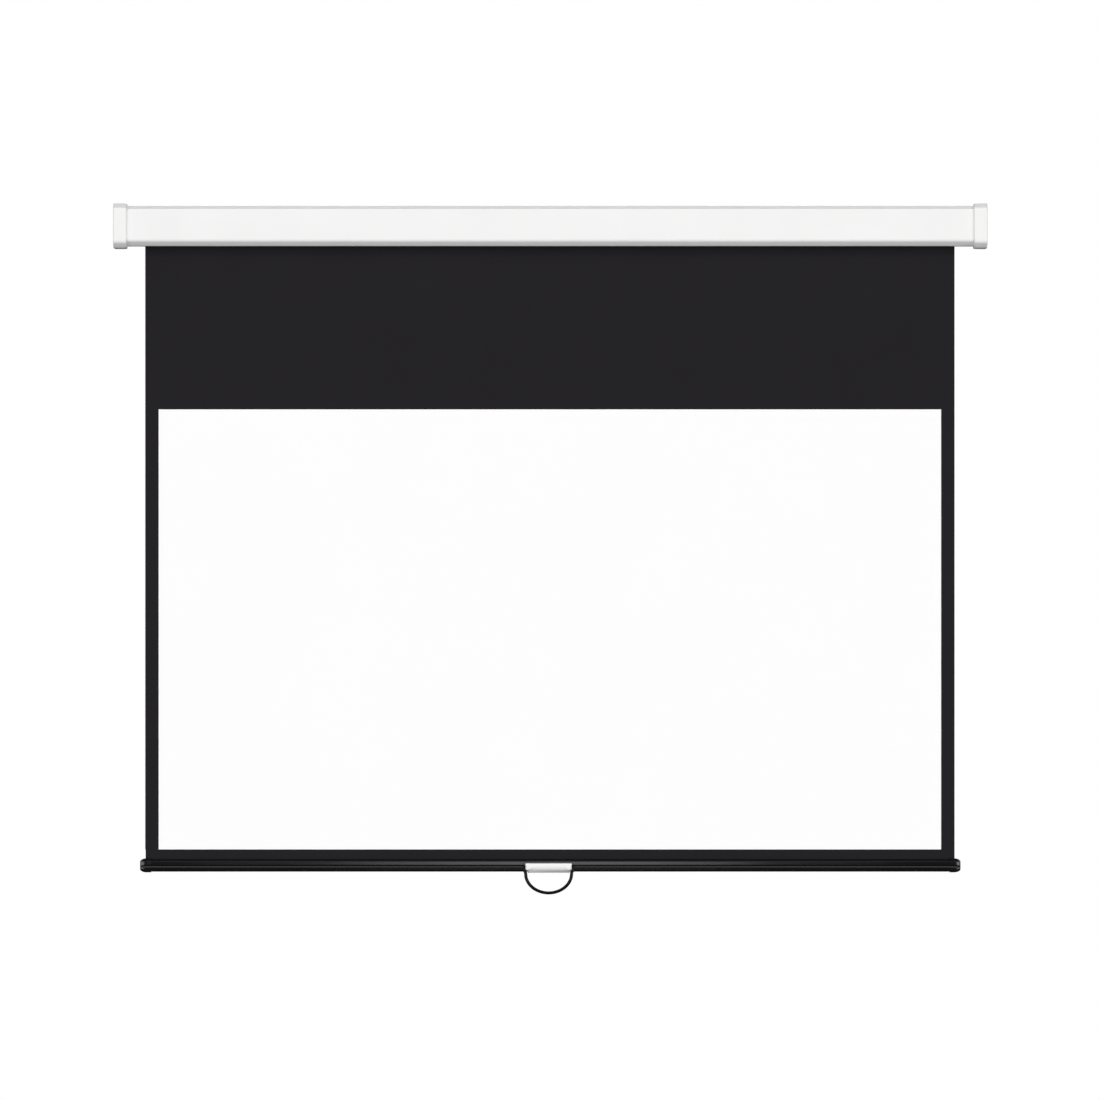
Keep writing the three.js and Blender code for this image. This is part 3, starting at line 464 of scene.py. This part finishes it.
def buildCase():
    wall, lip = case["wall"], caseLow.z + case["slotLip"]
    front = clothMiddle - case["slotWidth"] / 2
    back = clothMiddle + case["slotWidth"] / 2
    corners = [
        (back, caseLow.z, 0),
        *caseCorners,
        (front, caseLow.z, 0),
        (front, lip, 0),
        (front - wall, lip, 0),
        (front - wall, caseLow.z + wall, 0),
        *offset(caseCorners, -wall)[::-1],
        (back + wall, caseLow.z + wall, 0),
        (back + wall, lip, 0),
        (back, lip, 0),
    ]
    shell = prism("case", rounded(corners), caseLow.x, caseHigh.x)
    centres = offset(caseCorners, case["portSink"] - case["portRadius"] - wall)
    places = [centres[0][:2], centres[2][:2]]  # low at the back, and high at the front
    ports = [rod(case["portRadius"], caseLow.x, caseHigh.x, *place) for place in places]
    bores = [rod(case["portBore"], caseLow.x - wall, caseHigh.x + wall, *place) for place in places]
    shaped(shaped(shell, ports, "UNION"), bores)
    dressed(eased(shell, case["edge"]), "case_paint", "case", "case_shell")


buildCase()
print("case built")

# End caps, drawn at the right end and mirrored for the left
cap = {
    "wall": 0.0025,
    "endWall": 0.003,
    "lip": 0.0027,  # depth of the lip that fits round the case
    "lipRadius": 0.0012,  # round on the edge that meets the case
    "lipSteps": 6,
    "chamferLength": 0.008,
    "chamferRise": 0.0006,
    "edgeRadius": 0.0026,
    "edgeSteps": 8,
    "softening": 0.002,  # how much rounder its corners are than the case's
    "footSoftening": 0.024,  # and the corner underneath
    "plate": 0.002,  # the bracket's steel
    "window": 0.016,  # half the depth of the opening over the bracket
    "bossRadius": 0.0056,
    "bore": 0.0022,
    "sinkRadius": 0.0041,
    "sinkDepth": 0.0025,
    "gap": 0.0003,
    "overrun": 0.003,  # how far a cut runs on past what it cuts
    "edge": 0.0003,
}


def capDrawing(low, high, inset, back=0.0):  # follows the case's front, and is open to the wall
    stand = high.z - caseHigh.z
    front = offset(caseCorners, stand - inset)[2:]
    return rounded([
        (back, low.z + inset, 0),
        (back, high.z - inset, 0),
        *[(y, z, radius - stand + cap["softening"]) for y, z, radius in front[:-1]],
        (*front[-1][:2], front[-1][2] - stand + cap["footSoftening"]),
    ])


def buildEndCap(name, side):
    low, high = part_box("end_cap_right")
    over, gap = cap["overrun"], cap["gap"]
    stations = []
    for k in range(cap["lipSteps"] + 1):
        angle = math.pi / 2 * k / cap["lipSteps"]
        inset = cap["chamferRise"] + cap["lipRadius"] * (1 - math.sin(angle))
        x = low.x + cap["lipRadius"] * (1 - math.cos(angle))
        stations.append((x, capDrawing(low, high, inset)))
    stations.append((low.x + cap["chamferLength"], capDrawing(low, high, 0)))
    for k in range(cap["edgeSteps"] + 1):
        angle = math.pi / 2 * k / cap["edgeSteps"]
        inset = cap["edgeRadius"] * (1 - math.cos(angle))
        x = high.x - cap["edgeRadius"] * (1 - math.sin(angle))
        stations.append((x, capDrawing(low, high, inset)))
    piece = skin(name, stations)
    inside = high.x - cap["endWall"]
    pocket = prism("pocket", capDrawing(low, high, cap["wall"], over), low.x + cap["lip"], inside)
    mouth = rounded(offset(caseCorners, gap))
    passage = prism("passage", mouth, low.x - over, low.x + cap["lip"] + over)
    centre = (caseLow.y + caseHigh.y) / 2
    plateOut = caseHigh.x + gap + cap["plate"]
    window = block(
        (plateOut, centre - cap["window"], caseHigh.z),
        (inside - over, centre + cap["window"], high.z + over),
    )
    shaped(piece, [pocket, passage, window])
    screws = [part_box(f"cap_screw_right_{place}") for place in ("upper", "lower")]
    places = [((a.y + b.y) / 2, (a.z + b.z) / 2) for a, b in screws]
    bossEnd = high.x - cap["endWall"] / 2
    bosses = [rod(cap["bossRadius"], plateOut + gap, bossEnd, *place) for place in places]
    bores = [rod(cap["bore"], low.x, high.x + over, *place) for place in places]
    sinkStart = high.x - cap["sinkDepth"]
    sinks = [rod(cap["sinkRadius"], sinkStart, high.x + over, *place) for place in places]
    shaped(shaped(piece, bosses, "UNION"), bores + sinks)
    mirrored(piece, side)
    dressed(eased(piece, cap["edge"]), "cap_plastic", "case", name.replace("cap_", "end_cap_"))


for side, end in bothEnds:
    buildEndCap(f"cap_{end}", side)
print("end caps built")

# Hanging cloth, its white picture area, and what stays wound on the roller
cloth = {
    "thickness": 0.00045,
    "columns": 160,
    "rows": 120,
    "roundTo": 50,  # degrees up to which an edge is shown round
    "ripple": 0.0012,  # how deep the faint upright waves are
    "waves": 4.6,  # how many there are from side to side
    "drift": 0.9,  # how far they shift from the top to the bottom
    "smallWaves": 1.7,  # a second set, this many times as many
    "smallShare": 0.5,
    "smallStart": 2.0,
    "smallDrift": 1.3,
    "curl": 0.0012,  # how far the side edges turn back
    "curlWidth": 0.03,
    "topCalm": 0.15,  # how soon the waves die out towards the roller
    "lowCalm": 0.09,  # and towards the bar
    "flatWidth": 1.924,
    "pictureBack": 0.8,  # how near to the cloth's front the coating's back is
    "keep": 0.0218,  # the share of its height that is left when it is wound up
    "wrapPitch": 0.0009,
    "wrapTurns": 2.25,
    "wrapSteps": 72,
}
hemLow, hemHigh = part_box("bottom_hem")
clothTop = clothHigh.z
clothEnd = hemHigh.z


def sway(x, z):  # how far back the cloth lies here, always on the wall's side of its plane
    across = (x - clothLow.x) / (clothHigh.x - clothLow.x)
    down = (clothTop - z) / (clothTop - clothEnd)
    waves = 2 * math.pi * cloth["waves"]
    small = cloth["smallWaves"] * waves * across + cloth["smallStart"] - cloth["smallDrift"] * down
    swing = math.sin(waves * across + cloth["drift"] * down) + cloth["smallShare"] * math.sin(small)
    most = 1 + cloth["smallShare"]
    edge = min(x - clothLow.x, clothHigh.x - x)
    curl = cloth["curl"] * max(0.0, 1 - edge / cloth["curlWidth"]) ** 2
    loose = min((clothTop - z) / cloth["topCalm"], (z - clothEnd) / cloth["lowCalm"])
    loose = min(1.0, max(0.0, loose))
    loose = loose * loose * (3 - 2 * loose)
    return loose * (cloth["ripple"] * (most + swing) / (2 * most) + curl)


def hung(name, left, right, low, high, front, back):  # a thin sheet that follows the cloth's sway
    columns = max(2, round(cloth["columns"] * (right - left) / cloth["flatWidth"]))
    rows = max(2, round(cloth["rows"] * (high - low) / (clothTop - clothEnd)))
    across = [left + (right - left) * c / columns for c in range(columns + 1)]
    upward = [low + (high - low) * r / rows for r in range(rows + 1)]
    shape = bmesh.new()
    layers = []
    for depth in (front, back):
        layers.append([[shape.verts.new((x, depth + sway(x, z), z)) for x in across] for z in upward])
    rims = []
    for layer in layers:
        for r in range(rows):
            for c in range(columns):
                shape.faces.new((layer[r][c], layer[r][c + 1], layer[r + 1][c + 1], layer[r + 1][c]))
        rims.append(([row[0] for row in layer], [row[-1] for row in layer], layer[0], layer[-1]))
    for rim, other in zip(*rims):
        for k in range(len(rim) - 1):
            shape.faces.new((rim[k], rim[k + 1], other[k + 1], other[k]))
    return newPiece(name, shape)


def band(name, path, thickness, x0, x1):  # a strip of cloth along a path seen edge on
    left, right = [], []
    for k, point in enumerate(path):
        ahead = path[min(k + 1, len(path) - 1)] - path[max(k - 1, 0)]
        across = Vector((-ahead.y, ahead.x)).normalized() * (thickness / 2)
        left.append(point + across)
        right.append(point - across)
    return prism(name, left + right[::-1], x0, x1)


def buildCloth():
    half = cloth["thickness"] / 2
    edges = clothLow.x, clothHigh.x
    sheet = hung("cloth", *edges, clothEnd, clothTop, clothMiddle - half, clothMiddle + half)
    dressed(smooth(sheet, cloth["roundTo"]), "black_cloth", "case", "screen_cloth")
    low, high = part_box("projection_surface")
    back = clothMiddle - half * cloth["pictureBack"]
    picture = hung("picture_area", low.x, high.x, clothEnd, high.z, low.y, back)
    dressed(smooth(picture, cloth["roundTo"]), "white_cloth", "case", "projection_surface")
    for piece in (sheet, picture):
        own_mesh(piece)
    return sheet, picture


def buildWraps():
    low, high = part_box("cloth_wraps")
    tubeLow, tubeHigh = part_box("roller_tube")
    centre = Vector(((tubeLow.y + tubeHigh.y) / 2, (tubeLow.z + tubeHigh.z) / 2))
    outer = high.y - centre.x - cloth["thickness"] / 2
    count = round(cloth["wrapSteps"] * cloth["wrapTurns"])
    path = []
    for k in range(count + 1):
        turns = cloth["wrapTurns"] * k / count
        angle = 2 * math.pi * turns
        radius = outer - cloth["wrapPitch"] * turns
        path.append(centre + Vector((math.cos(angle), math.sin(angle))) * radius)
    piece = band("wound_cloth", path, cloth["thickness"], low.x, high.x)
    dressed(smooth(piece, cloth["roundTo"]), "black_cloth", "roller", "cloth_wraps")


# Hem: the cloth's end, turned round the rod and welded to itself
hem = {
    "spread": 0.00025,  # from the middle of the hem to the middle of each layer
    "run": 0.023,  # how far the layers run down towards the rod
    "runSteps": 6,
    "turn": 0.00297,  # radius of the turn round the rod
    "turnSteps": 40,
}


def buildHem():
    rodLow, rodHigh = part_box("hem_rod")
    centre = Vector(((rodLow.y + rodHigh.y) / 2, (rodLow.z + rodHigh.z) / 2))
    spread, turn = hem["spread"], hem["turn"]
    start = math.asin(spread / turn)
    heights = [hemHigh.z - hem["run"] * k / hem["runSteps"] for k in range(hem["runSteps"])]
    path = [Vector((centre.x - spread, z)) for z in heights]
    for k in range(hem["turnSteps"] + 1):
        angle = math.pi / 2 + start + (2 * math.pi - 2 * start) * k / hem["turnSteps"]
        path.append(centre + Vector((math.cos(angle), math.sin(angle))) * turn)
    path += [Vector((centre.x + spread, z)) for z in heights[::-1]]
    piece = band("hem", path, cloth["thickness"], hemLow.x, hemHigh.x)
    dressed(smooth(piece, cloth["roundTo"]), "black_cloth", "bottom_bar", "bottom_hem")
    return piece


sheet, picture = buildCloth()
buildWraps()
hemPiece = buildHem()
print("cloth hung")

# Bottom bar: a black extrusion with two lobes and a slot for the hem
bar = {
    "neckTopHalf": 0.0065,
    "neckHalf": 0.0058,
    "neckHeight": 0.0042,
    "browHeight": 0.0062,  # from the top down to where the upper lobe's flat face starts
    "faceHeight": 0.0064,
    "waistHalf": 0.0070,
    "waistHeight": 0.0132,
    "slopeHalf": 0.0084,  # how far out the lower lobe's slope is pulled
    "slopeHeight": 0.0105,
    "crestHeight": 0.0068,
    "keelHeight": 0.0022,
    "footHalf": 0.0035,
    "slit": 0.0022,  # width of the slot for the hem
    "cavity": 0.0038,  # radius of the channel for the hem's rod
    "cavityDrop": 0.0086,
    "cavitySteps": 32,
    "edge": 0.0004,
}
barLow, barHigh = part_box("bar_extrusion")
barMiddle = Vector(((barLow.y + barHigh.y) / 2, barHigh.z))
barHeight = barHigh.z - barLow.z
barHalf = (barHigh.y - barLow.y) / 2


def barOutline(grow=0.0):  # about the middle of its top, and this much larger all round
    neckTop, neck = bar["neckTopHalf"] + grow, bar["neckHalf"] + grow
    waist, slope = bar["waistHalf"] + grow, bar["slopeHalf"] + grow
    belly, foot = barHalf + grow, bar["footHalf"] + grow / 2
    shoulder, brow = -bar["neckHeight"], -bar["browHeight"]
    chin = brow - bar["faceHeight"]
    notch = bar["waistHeight"] - barHeight
    pull = bar["slopeHeight"] - barHeight
    crest = bar["crestHeight"] - barHeight
    keel = bar["keelHeight"] - barHeight
    side = [Vector((neckTop, grow)), Vector((neck, shoulder))]
    side += bow((neck, shoulder), (belly, shoulder), (belly, brow))
    side += bow((belly, chin), (belly, notch), (waist, notch))
    side += bow((waist, notch), (slope, pull), (belly, crest))
    side += bow((belly, crest), (belly, keel), (foot, -barHeight - grow))
    return side + [Vector((-p.x, p.y)) for p in side[::-1]]


def barDrawing(grow=0.0):
    return [barMiddle + p for p in barOutline(grow)]


def buildBar():
    slit, cavity, drop = bar["slit"] / 2, bar["cavity"], bar["cavityDrop"]
    start = math.asin(slit / cavity)
    channel = [Vector((-slit, 0))]
    for k in range(bar["cavitySteps"] + 1):
        angle = math.pi / 2 + start + (2 * math.pi - 2 * start) * k / bar["cavitySteps"]
        channel.append(Vector((cavity * math.cos(angle), cavity * math.sin(angle) - drop)))
    channel.append(Vector((slit, 0)))
    drawing = barDrawing() + [barMiddle + p for p in channel]
    piece = prism("bar", drawing, barLow.x, barHigh.x)
    dressed(eased(piece, bar["edge"]), "bar_paint", "bottom_bar", "bar_extrusion")


barCap = {  # drawn at the right end, as the case's caps are
    "wall": 0.0017,
    "round": 0.0155,  # length of the dome
    "roundSteps": 14,
    "roundShare": 0.46,  # how much smaller the section is at the tip
    "gap": 0.0003,
    "overrun": 0.003,
    "edge": 0.0003,
}


def buildBarCap(name, side):
    low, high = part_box("bar_cap_right")
    mouth, full = barDrawing(barCap["wall"] - barCap["edge"]), barDrawing(barCap["wall"])
    stations = [(low.x, mouth), (low.x + barCap["edge"], full)]
    middle = barMiddle - Vector((0, barHeight / 2))
    for k in range(barCap["roundSteps"] + 1):
        angle = math.pi / 2 * k / barCap["roundSteps"]
        size = 1 - barCap["roundShare"] * (1 - math.cos(angle))
        x = high.x - barCap["round"] * (1 - math.sin(angle))
        stations.append((x, [middle + (point - middle) * size for point in full]))
    piece = skin(name, stations)
    over, inside = barCap["overrun"], barHigh.x + barCap["gap"]
    pocket = prism("pocket", barDrawing(barCap["gap"]), low.x - over, inside)
    slit = block(
        (low.x - over, barMiddle.x - bar["slit"] / 2, barMiddle.y - bar["neckHeight"]),
        (inside, barMiddle.x + bar["slit"] / 2, barMiddle.y + over * 2),
    )
    shaped(piece, [pocket, slit])
    dressed(smooth(mirrored(piece, side)), "bar_cap_plastic", "bottom_bar", name)


buildBar()
for side, end in bothEnds:
    buildBarCap(f"bar_cap_{end}", side)
print("bottom bar built")

# Handle: the clip, drawn about the bail's axis, and the bail
clip = {
    "bodyWidth": 0.099,
    "front": 0.0075,  # its front, back, top and foot, from that axis
    "back": 0.0063,
    "top": 0.0097,
    "low": -0.013,
    "lipTop": -0.0106,  # the lip that hooks under the bar
    "lipReach": 0.013,
    "footHeight": 0.0105,  # the slanted foot of its front
    "footDepth": 0.0155,
    "footRadius": 0.016,
    "footEdgeRadius": 0.002,
    "edgeRadius": 0.0016,
    "channel": 0.00385,  # radius of the wire's channel
    "channelSteps": 24,
    "earSteps": 12,
    "earChamfer": 0.0028,
    "chamferTop": 0.0007,  # how far above the channel the chamfer goes
    "earInner": 0.0415,  # from the middle to where an ear's flat face starts
    "earSlant": 0.006,  # how much narrower the face is at its foot
    "sinkRadius": 0.0032,
    "sinkNeck": 0.0017,
    "sinkDepth": 0.0015,
    "sinkGap": 0.0003,  # how far under the screw's head the sink starts
    "overrun": 0.003,
    "edge": 0.0003,
}
bail = {
    "wireRadius": 0.0035,
    "bowRadius": 0.0038,  # the moulded bow is a little thicker than its run in the clip
    "halfWidth": 0.0545,
    "corner": 0.004,
    "cornerSteps": 8,
    "jogDrop": 0.0145,  # how far down the wire is when it has stepped in under the ears
    "jogSteps": 12,
    "bowDrop": 0.0151,
    "bowDepth": 0.0453,
    "bowSteps": 64,
    "endGap": 0.002,
    "sides": 28,
    "roundTo": 50,  # degrees, as for the cloth
}
clipLow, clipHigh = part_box("handle_clip")
handle = Vector(((clipLow.x + clipHigh.x) / 2, clipLow.y + clip["front"], clipHigh.z - clip["top"]))


def channelDrawing():  # the wire's channel, open to the bar
    back, radius = clip["back"], clip["channel"]
    points = [Vector((back, -radius))]
    for k in range(clip["channelSteps"] + 1):
        angle = -math.pi / 2 - math.pi * k / clip["channelSteps"]
        points.append(Vector((radius * math.cos(angle), radius * math.sin(angle))))
    return points + [Vector((back, radius))]


def clipDrawing():
    back, front = clip["back"], -clip["front"]
    return rounded([
        (back, clip["top"], 0),
        (front, clip["top"], clip["edgeRadius"]),
        (front, clip["low"] + clip["footHeight"], clip["footRadius"]),
        (front + clip["footDepth"], clip["low"], clip["footEdgeRadius"]),
        (back + clip["lipReach"], clip["low"], 0),
        (back + clip["lipReach"], clip["lipTop"], 0),
        (back, clip["lipTop"], 0),
    ]) + channelDrawing()


def earDrawing():
    back, front = clip["back"], -clip["front"]
    top = rounded([(back, clip["top"], 0), (front, clip["top"], clip["edgeRadius"]), (front, 0, 0)])
    steps = clip["earSteps"]
    turn = [math.pi + math.pi / 2 * k / steps for k in range(1, steps + 1)]
    lower = [Vector((clip["front"] * math.cos(a), clip["front"] * math.sin(a))) for a in turn]
    return top + lower + [Vector((back, front))] + channelDrawing()


def placed(drawing):  # moved to where the handle is
    return [(handle.y + y, handle.z + z) for y, z in drawing]


def earTool(side):  # takes the ear's lower outer corner off round the wire
    end, over, front = clipHigh.x - handle.x, clip["overrun"], clip["front"]
    reach = front * 2  # past the ear's corners
    far = reach * 1.5  # and past the ring
    near, outer = end - clip["earChamfer"] - over, end + over
    wide, narrow = front + over, front - clip["earChamfer"] - over
    ring = prism("ring", circle(reach), end - clip["earChamfer"], outer)
    core = skin("core", [(near, circle(wide)), (outer, circle(narrow))])
    above = block((0, -far, clip["channel"] + clip["chamferTop"]), (outer * 1.5, far, far))
    shaped(ring, [core, above])
    mirrored(ring, side)
    ring.data.transform(Matrix.Translation(handle))
    return ring


def slantTool(side):  # takes the foot of the ear's inner edge off at a slant
    start, over, front = clip["earInner"], clip["overrun"], clip["front"]
    rise, drop, reach = clip["channel"] / 2, front + over, front * 3
    tops = ((start - over, rise), (start + clip["earSlant"] + over / 2, -drop))
    wedge = skin("wedge", [
        (x, [(-reach, -reach), (reach, -reach), (reach, top), (-reach, top)]) for x, top in tops
    ])
    mirrored(wedge, side)
    wedge.data.transform(Matrix.Translation(handle))
    return wedge


def sinkTool(base, tip, low, depth, place):  # an upright cone where a screw goes in from below
    shape = bmesh.new()
    size = {"radius1": base, "radius2": tip, "depth": depth}
    bmesh.ops.create_cone(shape, cap_ends=True, segments=32, **size)
    bmesh.ops.translate(shape, verts=shape.verts, vec=(*place, low + depth / 2 - clip["sinkGap"]))
    return newPiece("sink", shape)


def buildClip():
    half = clip["bodyWidth"] / 2
    end = clipHigh.x - handle.x
    piece = prism("clip", placed(clipDrawing()), handle.x - half, handle.x + half)
    for side in (-1, 1):
        near, far = sorted((handle.x + side * clip["earInner"], handle.x + side * end))
        ear = prism("ear", placed(earDrawing()), near, far)
        shaped(ear, [earTool(side), slantTool(side)])
        shaped(piece, [ear], "UNION")
    neck = clip["sinkNeck"]
    sinks = []
    for name in ("left", "right"):
        low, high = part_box(f"clip_screw_{name}")
        place = (low.x + high.x) / 2, (low.y + high.y) / 2
        sinks.append(sinkTool(neck, neck, low.z, high.z - low.z, place))
        sinks.append(sinkTool(clip["sinkRadius"], neck, low.z, clip["sinkDepth"], place))
    shaped(piece, sinks)
    dressed(eased(piece, clip["edge"]), "handle_plastic", "bottom_bar", "handle_clip")


def bailPath():  # from the middle of the clip round and back, in the XZ plane
    half, corner, jog = bail["halfWidth"], bail["corner"], bail["jogDrop"]
    side = [Vector((bail["endGap"] / 2, 0)), Vector((half - corner, 0)), Vector((half, 0))]
    side += bow((half, 0), (half + corner, 0), (half + corner, -corner), bail["cornerSteps"])
    middle = -(corner + jog) / 2
    points = [(half + corner, -corner), (half + corner, middle), (half, middle), (half, -jog)]
    a, b, c, d = (Vector(p) for p in points)
    for k in range(1, bail["jogSteps"] + 1):
        t = k / bail["jogSteps"]
        rest = 1 - t
        side.append(a * rest**3 + b * (3 * t * rest**2) + c * (3 * t * t * rest) + d * t**3)
    bowed = []
    for k in range(bail["bowSteps"] + 1):
        angle = math.pi * k / bail["bowSteps"]
        drop = bail["bowDrop"] + bail["bowDepth"] * math.sin(angle)
        bowed.append(Vector((half * math.cos(angle), -drop)))
    return side + bowed + [Vector((-p.x, p.y)) for p in side[::-1]]


def buildBail():
    path = bailPath()
    shape = bmesh.new()
    rings = []
    for k, point in enumerate(path):
        ahead = (path[min(k + 1, len(path) - 1)] - path[max(k - 1, 0)]).normalized()
        centre = handle + Vector((point.x, 0, point.y))
        across = Vector((-ahead.y, 0, ahead.x))
        dropped = min(1.0, max(0.0, -point.y / bail["bowDrop"]))
        radius = bail["wireRadius"] + (bail["bowRadius"] - bail["wireRadius"]) * dropped
        ring = []
        for s in range(bail["sides"]):
            angle = 2 * math.pi * s / bail["sides"]
            spoke = across * math.cos(angle) + Vector((0, 1, 0)) * math.sin(angle)
            ring.append(shape.verts.new(centre + spoke * radius))
        rings.append(ring)
    for first, second in zip(rings, rings[1:]):
        for s in range(bail["sides"]):
            shape.faces.new((first[s - 1], first[s], second[s], second[s - 1]))
    shape.faces.new(rings[0])
    shape.faces.new(rings[-1])
    piece = newPiece("pull_bail", shape)
    dressed(smooth(piece, bail["roundTo"]), "bail_plastic", "bail", "bail")


buildClip()
buildBail()
print("handle built")

# Inner pieces: the CAD shape with its patches joined, so that round stretches look round
inner = {
    "join": 0.000002,  # corners nearer than this are one corner
    "flat": 1,  # degrees within which two patches are one face
    "edge": 0.00015,
    "roundTo": 40,  # degrees, as for the cloth
    "wireRoundTo": 80,  # and for the spring, whose wire has few sides
}
innerSlots = {
    "zinc_steel": [
        "end_bracket_left", "end_bracket_right", "idler_pin", "spear_shaft", "pawl_carrier",
        "pawl_pin_a", "pawl_pin_b", "hem_rod", "clip_screw_left", "clip_screw_right",
        *[f"{kind}_screw_{end}_{place}" for kind in ("bracket", "cap")
          for end in ("left", "right") for place in ("upper", "lower")],
    ],
    "bare_aluminium": ["roller_tube"],
    "spring_steel": ["ratchet_wheel", "pawl_a", "pawl_b", "torsion_spring"],
    "nylon": ["cloth_spline", "idler_plug", "idler_bush", "spring_anchor", "spring_cone"],
}
bodies = frame["record"]["behaviour"]["bodies"]
bodyOf = {name: body for body, members in bodies.items() for name in members}


def buildInner(name, slot):
    shape = bmesh.new()
    shape.from_mesh(nodes[name].data)
    bmesh.ops.remove_doubles(shape, verts=shape.verts, dist=inner["join"])
    flat = math.radians(inner["flat"])
    bmesh.ops.dissolve_limit(shape, angle_limit=flat, verts=shape.verts, edges=shape.edges)
    piece = newPiece(f"{name}_finished", shape)
    if name == "torsion_spring":
        smooth(piece, inner["wireRoundTo"])
    else:
        eased(piece, inner["edge"], inner["roundTo"])
    dressed(piece, slot, bodyOf[name], name)


for slot, names in innerSlots.items():
    for name in names:
        buildInner(name, slot)
print("inner pieces built")

# Light: soft suns from the front, from both sides of it and from above and behind, and two
# panels that show only in glossy pieces
light = {
    "room": 0.075,  # level of the room's own light
    "backdrop": 1.0,  # and of what the camera sees behind
    "front": 0.55,
    "frontSoftness": 62,
    "side": 1.58,
    "sideTurn": 40,  # how far round to each side, in degrees
    "sideSoftness": 45,
    "drop": 0.07,  # how steeply the front lights come down
    "rear": 1.85,
    "rearSoftness": 40,
    "rearDrop": 0.75,
    "target": (0, -0.05, -1.52),  # the panels face the bottom bar
    "middlePanel": {"size": (0.98, 1.2), "place": (0, -6, -1.55), "strength": 2.6},
    "highPanel": {"size": (6.0, 2.7), "place": (0, -3.3, 2.3), "strength": 1.3},
}


def addSun(name, strength, softness, direction, shine):  # shine: whether glossy pieces show it
    data = bpy.data.lights.new(name, "SUN")
    data.energy = strength
    data.angle = math.radians(softness)
    lamp = bpy.data.objects.new(name, data)
    lamp.rotation_euler = Vector(direction).to_track_quat("-Z", "Y").to_euler()
    lamp.visible_glossy = shine
    scene.collection.objects.link(lamp)


def addPanel(name, values):
    width, height = values["size"]
    data = bpy.data.lights.new(name, "AREA")
    data.shape = "RECTANGLE"
    data.size, data.size_y = width, height
    data.energy = values["strength"] * width * height * math.pi
    panel = bpy.data.objects.new(name, data)
    panel.location = values["place"]
    aim = Vector(light["target"]) - Vector(values["place"])
    panel.rotation_euler = aim.to_track_quat("-Z", "Y").to_euler()
    panel.visible_diffuse = False
    panel.visible_camera = False
    scene.collection.objects.link(panel)


def lightRoom():
    world = bpy.data.worlds.new("room")
    world.use_nodes = True
    tree = world.node_tree
    tree.nodes.clear()
    seen = tree.nodes.new("ShaderNodeLightPath").outputs["Is Camera Ray"]
    dim = node(tree, "Background", {"Color": (1, 1, 1, 1), "Strength": light["room"]})
    bright = node(tree, "Background", {"Color": (1, 1, 1, 1), "Strength": light["backdrop"]})
    both = node(tree, "MixShader", {0: seen, 1: dim, 2: bright})
    tree.links.new(both, tree.nodes.new("ShaderNodeOutputWorld").inputs[0])
    scene.world = world
    scene.view_settings.view_transform = "Standard"
    addSun("front", light["front"], light["frontSoftness"], (0, 1, -light["drop"]), False)
    turn = math.radians(light["sideTurn"])
    for name, side in (("left", 1), ("right", -1)):
        aim = (side * math.sin(turn), math.cos(turn), -light["drop"])
        addSun(name, light["side"], light["sideSoftness"], aim, True)
    addSun("rear", light["rear"], light["rearSoftness"], (0, -1, -light["rearDrop"]), True)
    addPanel("middle_panel", light["middlePanel"])
    addPanel("high_panel", light["highPanel"])


lightRoom()

# Floor: a pale disc that fades out at its edge, far below the screen
floor = {
    "height": -2.25,
    "solidRadius": 1.5,  # where it starts to fade out
    "clearShare": 0.97,  # and the share of its radius where it has done so
    "radius": 3.7,
    "sides": 96,
    "colour": (0.86, 0.86, 0.855),
    "roughness": 0.9,
    "uneven": 0.015,
    "patch": 0.08,
    "grain": 0.004,
    "relief": 0.0001,
}


def layFloor():
    shape = bmesh.new()
    bmesh.ops.create_circle(shape, cap_ends=True, segments=floor["sides"], radius=floor["radius"])
    bmesh.ops.translate(shape, verts=shape.verts, vec=(0, 0, floor["height"]))
    piece = newPiece("floor", shape)
    material, tree, shader = startFinish("floor", floor)
    colour = shades(tree, floor["colour"], floor["uneven"], clouds(tree, floor["patch"]))
    tree.links.new(colour, shader.inputs["Base Color"])
    bump = node(tree, "Bump", {"Height": clouds(tree, floor["grain"]), "Distance": floor["relief"]})
    tree.links.new(bump, shader.inputs["Normal"])
    out = node(tree, "VectorMath", {0: spot(tree, (1, 1, 0))}, output=1, operation="LENGTH")
    faded = ranged(tree, out, 0, 1, floor["solidRadius"], floor["radius"] * floor["clearShare"])
    under = tree.nodes.new("ShaderNodeNewGeometry").outputs["Backfacing"]
    clear = maths(tree, "MAXIMUM", faded, under)  # it doesn't hide the screen from below
    glass = node(tree, "BsdfTransparent", {})
    both = node(tree, "MixShader", {0: clear, 1: shader.outputs[0], 2: glass})
    tree.links.new(both, tree.nodes["Material Output"].inputs[0])
    piece.data.materials.append(material)
    piece.visible_diffuse = False  # so that it doesn't brighten the undersides
    piece.visible_glossy = False
    piece.visible_shadow = False


layFloor()
print("light and floor placed")
